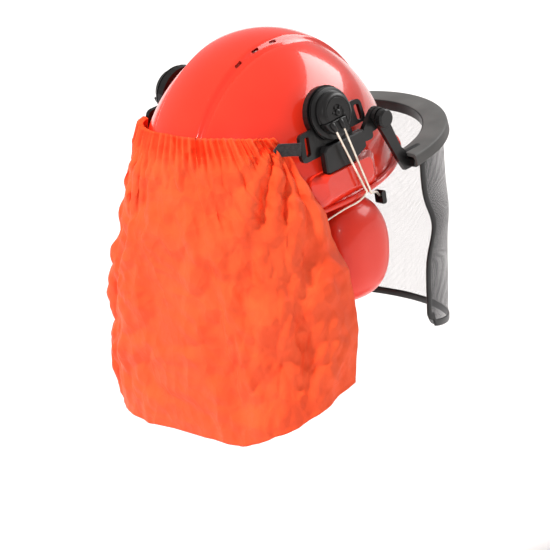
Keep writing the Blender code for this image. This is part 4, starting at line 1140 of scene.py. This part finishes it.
def leaned_points(points, side):
    """Leans the swivel's top in towards the shell about a line along Y at its foot, and shrinks it."""
    points = np.array(points, float)
    above = np.maximum(points[:, 2] - LEAN_PIVOT_Z, 0.0)
    amount = smoothstep(0.0, 5.0, above)
    out = side * points[:, 0] - LEAN_PIVOT_OUT
    high = points[:, 2] - LEAN_PIVOT_Z
    high = high * (1 + (LEAN_SHRINK_Z - 1) * amount)
    turn = SWIVEL_LEAN * amount
    y = points[:, 1] + (points[:, 1] - SWIVEL_CENTRE[0]) * (LEAN_SHRINK_Y - 1) * amount
    new_out = LEAN_PIVOT_OUT + out * np.cos(turn) - high * np.sin(turn)
    return np.stack([side * new_out, y, LEAN_PIVOT_Z + high * np.cos(turn) + out * np.sin(turn)], axis=-1)


def leaned(piece, side):
    points = np.zeros(len(piece.data.vertices) * 3)
    piece.data.vertices.foreach_get("co", points)
    moved = leaned_points(points.reshape(-1, 3) / MM, side) * MM
    piece.data.vertices.foreach_set("co", moved.ravel())
    piece.data.update()
    return piece


def leaned_copy(name, node_name, side, material, bevel):
    """A copy of a CAD node's mesh, leaned with the swivel and with its edges rounded."""
    source = NODES[node_name]
    piece = bpy.data.objects.new(name, source.data.copy())
    piece.data.transform(source.matrix_world)
    piece.data.materials.clear()
    piece.data.materials.append(material)
    bpy.context.scene.collection.objects.link(piece)
    return rounded(leaned(piece, side), bevel, 3, 30.0)


WIRE_RUNS = {"rear": ((20.0, 81.0), (-8.5, 3.0)), "front": ((8.0, 81.0), (-14.0, 0.0))}


def make_wires():
    for side_name, side in SIDES:
        for name, (top, bend) in WIRE_RUNS.items():
            turn = 1.0 if name == "rear" else -1.0
            a = leaned_points([(WIRE_OUT, *top)], 1.0)[0]
            b = np.array([WIRE_OUT, *bend])
            way = unit(b - a)
            if turn > 0:
                last = [(118, bend[0] + 7, -3.5), (110, 12, -8), (101, 29, -15)]
            else:
                last = [(118, bend[0] - 8, -3.0), (110, -34, -8), (101, -46, -16)]
            route = [a, a + (b - a) * 0.5, b - way * 6, b - way * 1.0] + [np.array(p, float) for p in last]
            pivot_y = CUP_Y - 3.5 + turn * (CUP_HALF_LENGTH + 1.0)
            route.append(np.array([PIVOT_OUT, pivot_y + turn * 1.5, PIVOT_Z]))
            points = along(np.array(route) * np.array([side, 1, 1]), 90)
            wire = tube(f"spring_wire_{name}_{side_name}", points, WIRE_RADIUS, MATERIALS["steel_wire"])
            settle(wire, "wires_" + side_name, "steel_wire", f"muff_wire_{name}_{side_name}")


def make_swivels():
    """The disc and the cap of each swivel, with a hub, its screw, the adapter and the wire carrier."""
    black = MATERIALS["black_plastic"]
    for side_name, side in SIDES:
        body = "swivel_" + side_name
        low, high = box_mm("swivel_disc_" + side_name)
        centre = ((low[1] + high[1]) / 2, (low[2] + high[2]) / 2)
        r = (high[1] - low[1]) / 2
        a, b = 108.0, 113.0
        profile = [(3.4, a), (r - 1.4, a), (r - 0.4, a + 0.3), (r, a + 1.0), (r, a + 1.9), (r - 0.9, a + 2.2)]
        profile += [(r - 0.9, a + 2.9), (r, a + 3.2), (r - 0.2, b - 1.2), (r - 0.8, b - 0.4), (r - 1.8, b)]
        profile.append((3.4, b))
        disc = leaned(turned("swivel_ring_" + side_name, centre, profile, side, black), side)
        settle(disc, body, "black_plastic", "swivel_disc_" + side_name)
        a, b = 113.3, 121.0
        profile = [(3.4, a), (22.0, a), (22.5, a + 0.5), (22.5, a + 1.6), (21.6, a + 2.2), (21.4, a + 4.0)]
        profile += [(20.6, b - 2.2), (19.4, b - 0.8), (17.6, b - 0.1), (16.8, b), (16.2, b - 0.5)]
        profile += [(15.6, b - 0.5), (15.0, b), (8.2, b), (7.6, b - 0.6), (7.2, b - 1.2), (3.4, b - 1.2)]
        cap = turned("swivel_dome_" + side_name, centre, profile, side, MATERIALS["black_plastic"])
        low, high = box_mm("wire_carrier_" + side_name)
        bay = box_outline((low[1] - 0.8, high[1] + 0.8), (low[2] - 2, high[2] + 0.8), 1.5)
        centre = SWIVEL_CENTRE
        cut(cap, prism("bay", bay, a - 1, b + 2, side, MATERIALS["black_plastic"]))
        leaned(cap, side)
        settle(cap, body, "black_plastic", "swivel_cap_" + side_name)
        for k in range(6):
            # Short ribs stand round the hub like a castle nut.
            turn = math.radians(60 * k + 12)
            out = unit(np.array([0.0, math.cos(turn), math.sin(turn)]))
            over = np.array([0.0, -math.sin(turn), math.cos(turn)])
            if centre[0] + 6.0 * out[1] > low[1] - 2 and 6.0 * out[2] < 0:
                continue
            loops = []
            for reach in (4.2, 7.0):
                middle = np.array([side * (b - 0.6), *centre]) + out * reach
                loops.append([middle + over * o + np.array([side * h, 0, 0])
                              for o, h in ((-0.9, -0.8), (0.9, -0.8), (0.9, 0.7), (-0.9, 0.7))])
            rib = loft(f"hub_rib_{k}_{side_name}", loops, MATERIALS["black_plastic"])
            rounded(leaned(rib, side), 0.25)
            settle(rib, body, "black_plastic")
        head = [(0.001, b - 1.0), (3.2, b - 1.0), (3.2, b + 0.1), (2.7, b + 0.6), (1.4, b + 0.85)]
        head.append((0.001, b + 0.9))
        screw = turned("hub_screw_" + side_name, centre, head, side, MATERIALS["black_plastic"], 40)
        slots = []
        for wide, tall in ((2.1, 0.4), (0.4, 2.1)):
            y_range, z_range = (centre[0] - wide, centre[0] + wide), (centre[1] - tall, centre[1] + tall)
            slots.append(prism("slot", box_outline(y_range, z_range, 0.1, 1), b + 0.2, b + 3, side, black))
        cut(screw, *slots)
        settle(leaned(screw, side), body, "black_plastic", "pivot_screw_" + side_name)
        adapter = leaned_copy("swivel_seat_" + side_name, "adapter_" + side_name, side, black, 0.9)
        settle(adapter, "root", "black_plastic", "adapter_" + side_name)
        make_carrier(side_name, side)


def make_carrier(side_name, side):
    """The lower part of the cap, which carries both wires in round barrels."""
    (y, z), reach = SWIVEL_CENTRE, 22.0
    low, high = box_mm("wire_carrier_" + side_name)
    near = math.degrees(math.atan2(-math.sqrt(reach ** 2 - (low[1] - y) ** 2), low[1] - y))
    far = math.degrees(math.atan2(high[2] - z, math.sqrt(reach ** 2 - (high[2] - z) ** 2)))
    outline = [(low[1], high[2])] + arc(SWIVEL_CENTRE, reach, near, far, 20)
    sector = prism("wire_sector_" + side_name, outline, 113.6, 121.6, side, MATERIALS["black_plastic"])
    rounded(leaned(sector, side), 1.3, 4, 30.0)
    settle(sector, "muff_arm_" + side_name, "black_plastic", "wire_carrier_" + side_name)
    for name, (top, bend) in WIRE_RUNS.items():
        top, bend = np.array(top), np.array(bend)
        way = unit(bend - top)
        spots = [(side * (WIRE_OUT - 1.2), *(top + way * step)) for step in (-0.5, 0.5, 6.0, 9.5, 10.5)]
        radii = [1.6, 2.7, 2.6, 2.2, 1.5]
        barrel = tube(f"wire_barrel_{name}_{side_name}", spots, radii, MATERIALS["black_plastic"])
        settle(leaned(barrel, side), "muff_arm_" + side_name, "black_plastic")


# ---------------------------------------------------------------- harness

def make_crown_straps():
    for name, degrees, top in (("a", -40.0, 108.0), ("b", 40.0, 104.0)):
        angle = math.radians(degrees)
        way = np.array([math.sin(angle), -math.cos(angle), 0.0])
        across = np.array([-way[1], way[0], 0.0])
        length, width = HALF_LENGTH - WALL, HALF_WIDTH - WALL
        inner = width * length / math.hypot(length * way[0], width * way[1])
        reach, foot, power = inner - 10.4, 9.0, 2 / 2.3
        turns = np.linspace(0, math.pi, 81)
        run = np.sign(np.cos(turns)) * np.abs(np.cos(turns)) ** power
        rise = foot + (top - foot) * np.maximum(np.sin(turns), 0) ** power
        centres = way * reach * run[:, None] + np.array([0, 0, 1.0]) * rise[:, None]
        outward = unit(np.cross(across, tangents_of(centres)))
        strap = ribbon("crown_web_" + name, centres, [across] * 81, outward, 19.0, 1.4,
                       MATERIALS["webbing_black"])
        settle(strap, "root", "webbing_black", "crown_strap_" + name)


def make_chin_strap():
    route = [(83, 66, 10), (86, 62, -40), (75, 42, -108), (48, -2, -142), (19.5, -36, -155)]
    for side_name, side in SIDES:
        centres = along([(side * x, y, z) for x, y, z in route], 70)
        tangents = tangents_of(centres)
        inward = unit(np.array([(-side * 0.85, 0.15, 0.5 * i / 69) for i in range(70)]))
        across = unit(np.cross(tangents, inward))
        outward = unit(np.cross(across, tangents))
        strap = ribbon("chin_web_" + side_name, centres, across, outward, 15.0, 1.5,
                       MATERIALS["webbing_black"])
        settle(strap, "root", "webbing_black", "chin_strap_" + side_name)


HEAD_HALF_WIDTH = 79.0
HEAD_HALF_LENGTH = 101.0


def band_ring(angle, grow):
    return np.array([
        (HEAD_HALF_WIDTH + grow) * math.sin(angle), -(HEAD_HALF_LENGTH + grow) * math.cos(angle), 0.0
    ])


def make_pads():
    """The sweatband inside the front of the headband, and the pad on the nape housing."""
    low, high = box_mm("sweatband")
    middle, tall = (low[2] + high[2]) / 2, (high[2] - low[2]) / 2
    loops = []
    for angle in np.radians(np.linspace(-62, 62, 61)):
        normal = unit((math.sin(angle) / HEAD_HALF_WIDTH, -math.cos(angle) / HEAD_HALF_LENGTH, 0))
        base = band_ring(angle, -0.3)
        quilt = 0.35 * math.cos(angle * 26)
        loop = []
        for t in np.linspace(0, 2 * math.pi, 24, endpoint=False):
            deep = 2.6 - (2.5 + quilt) * bent(math.cos(t), 0.7)
            up = tall * bent(math.sin(t), 0.5)
            loop.append(base - normal * max(deep, 0.0) + np.array([0, 0, middle + up]))
        loops.append(loop)
    band = loft("sweatband_pad", loops, MATERIALS["foam_black"], sharp=70)
    settle(band, "root", "foam_black", "sweatband")
    low, high = box_mm("nape_pad")
    centre, half = (low + high) / 2, (high - low) / 2
    loops = []
    for t in np.linspace(-1, 1, 25):
        crown = math.sqrt(max(0.0, 1 - abs(t) ** 6))
        loop = []
        for a in np.linspace(0, 2 * math.pi, 40, endpoint=False):
            x = half[0] * bent(math.cos(a), 0.35) * (0.90 + 0.10 * crown)
            z = half[2] * bent(math.sin(a), 0.35) * (0.90 + 0.10 * crown)
            loop.append((centre[0] + x, centre[1] + half[1] * t, centre[2] + z))
        loops.append(loop)
    pad = loft("nape_cushion", loops, MATERIALS["foam_black"], sharp=60)
    rounded(pad, 1.6)
    settle(pad, "root", "foam_black", "nape_pad")


def make_knob():
    """The ratchet knob, with finger grooves round its rim."""
    low, high = box_mm("ratchet_knob")
    centre_x, centre_z = (low[0] + high[0]) / 2, (low[2] + high[2]) / 2
    radius = (high[0] - low[0]) / 2
    front, back = high[1] - 9.1, high[1]
    rings = ((0.30, front), (0.97, front), (1.0, front + 0.8), (1.0, back - 1.6), (0.96, back - 0.5))
    rings += ((0.90, back), (0.74, back), (0.70, back - 0.8), (0.05, back - 1.0))
    loops = []
    for scale, y in rings:
        loop = []
        for a in np.linspace(0, 2 * math.pi, 192, endpoint=False):
            grip = 0.055 * max(0.0, math.cos(16 * a)) ** 2 * (scale > 0.85)
            r = radius * (scale - grip)
            loop.append((centre_x + r * math.cos(a), y, centre_z + r * math.sin(a)))
        loops.append(loop)
    knob = loft("ratchet_grip", loops, MATERIALS["black_plastic"], sharp=40)
    settle(knob, "ratchet", "black_plastic", "ratchet_knob")


def finish_cad_nodes():
    """The moulded pieces whose CAD shape is right get rounded edges and their own material."""
    slots = {row["node"]: row["material_slot"] for row in frame["record"]["subparts"]}
    for name, piece in NODES.items():
        if piece.hide_render:
            continue
        piece.data.materials.clear()
        piece.data.materials.append(MATERIALS[slots[name]])
        rounded(piece, 0.35, 2, 35.0)


# ---------------------------------------------------------------- stage

TARGET = Vector((-0.0196, 0.0302, -0.0846))
CAMERA_AZIMUTH = 227.7
CAMERA_ELEVATION = 22.4
CAMERA_ROLL = 9.7
CAMERA_DISTANCE_M = 2.083
CAMERA_LENS = 139.7
FLOOR_HEIGHT_M = -0.62


def make_camera():
    a, e, r = (math.radians(v) for v in (CAMERA_AZIMUTH, CAMERA_ELEVATION, CAMERA_ROLL))
    back = Vector((math.sin(a) * math.cos(e), -math.cos(a) * math.cos(e), math.sin(e)))
    right = Vector((0, 0, 1)).cross(back).normalized()
    up = back.cross(right)
    x_axis = right * math.cos(r) - up * math.sin(r)
    y_axis = up * math.cos(r) + right * math.sin(r)
    data = bpy.data.cameras.new("camera")
    data.lens = CAMERA_LENS
    data.sensor_width = 36.0
    camera = bpy.data.objects.new("camera", data)
    turn = Matrix((x_axis, y_axis, back)).transposed().to_4x4()
    camera.matrix_world = Matrix.Translation(TARGET + back * CAMERA_DISTANCE_M) @ turn
    bpy.context.scene.collection.objects.link(camera)
    bpy.context.scene.camera = camera


def sun_light(name, direction, strength, spread):
    """A broad soft light from far away; it gives no highlight of its own."""
    data = bpy.data.lights.new(name, "SUN")
    data.energy = strength
    data.angle = math.radians(spread)
    light = bpy.data.objects.new(name, data)
    light.rotation_mode = "QUATERNION"
    light.rotation_quaternion = Vector(direction).normalized().to_track_quat("Z", "Y")
    light.visible_glossy = False
    bpy.context.scene.collection.objects.link(light)


def area_light(name, direction, distance, size, power, diffuse=True, target=TARGET):
    data = bpy.data.lights.new(name, "AREA")
    data.shape = "RECTANGLE"
    data.size, data.size_y = size
    data.energy = power
    light = bpy.data.objects.new(name, data)
    way = Vector(direction).normalized()
    light.location = target + way * distance
    light.rotation_mode = "QUATERNION"
    light.rotation_quaternion = way.to_track_quat("Z", "Y")
    light.visible_diffuse = diffuse
    light.visible_camera = False
    bpy.context.scene.collection.objects.link(light)


def make_stage():
    side = 30000.0
    corners = np.array([(-side, -side, 0), (side, -side, 0), (side, side, 0), (-side, side, 0)])
    corners = corners + (0, 0, FLOOR_HEIGHT_M / MM)
    floor = mesh_piece("floor", corners, [(0, 1, 2, 3)], floor_material())
    world = bpy.data.worlds.new("studio")
    world.use_nodes = True
    background = world.node_tree.nodes["Background"]
    background.inputs["Color"].default_value = (1.0, 0.99, 0.985, 1.0)
    background.inputs["Strength"].default_value = 0.46
    bpy.context.scene.world = world
    sun_light("key", (0.13, 0.36, 0.92), 3.9, 7.0)
    area_light("window", (-0.32, -0.81, 0.49), 1.9, (1.7, 0.8), 27.0, diffuse=False)
    area_light("window_small", (-0.75, 0.80, 0.75), 2.2, (0.13, 0.12), 3.0, diffuse=False)
    bpy.context.scene.view_settings.view_transform = "Standard"


def main():
    make_camera()
    make_stage()
    shell_piece()
    make_cape()
    make_cape_straps()
    make_guard()
    make_screen()
    make_cups()
    make_wires()
    make_swivels()
    make_crown_straps()
    make_chin_strap()
    make_pads()
    make_knob()
    finish_cad_nodes()


main()
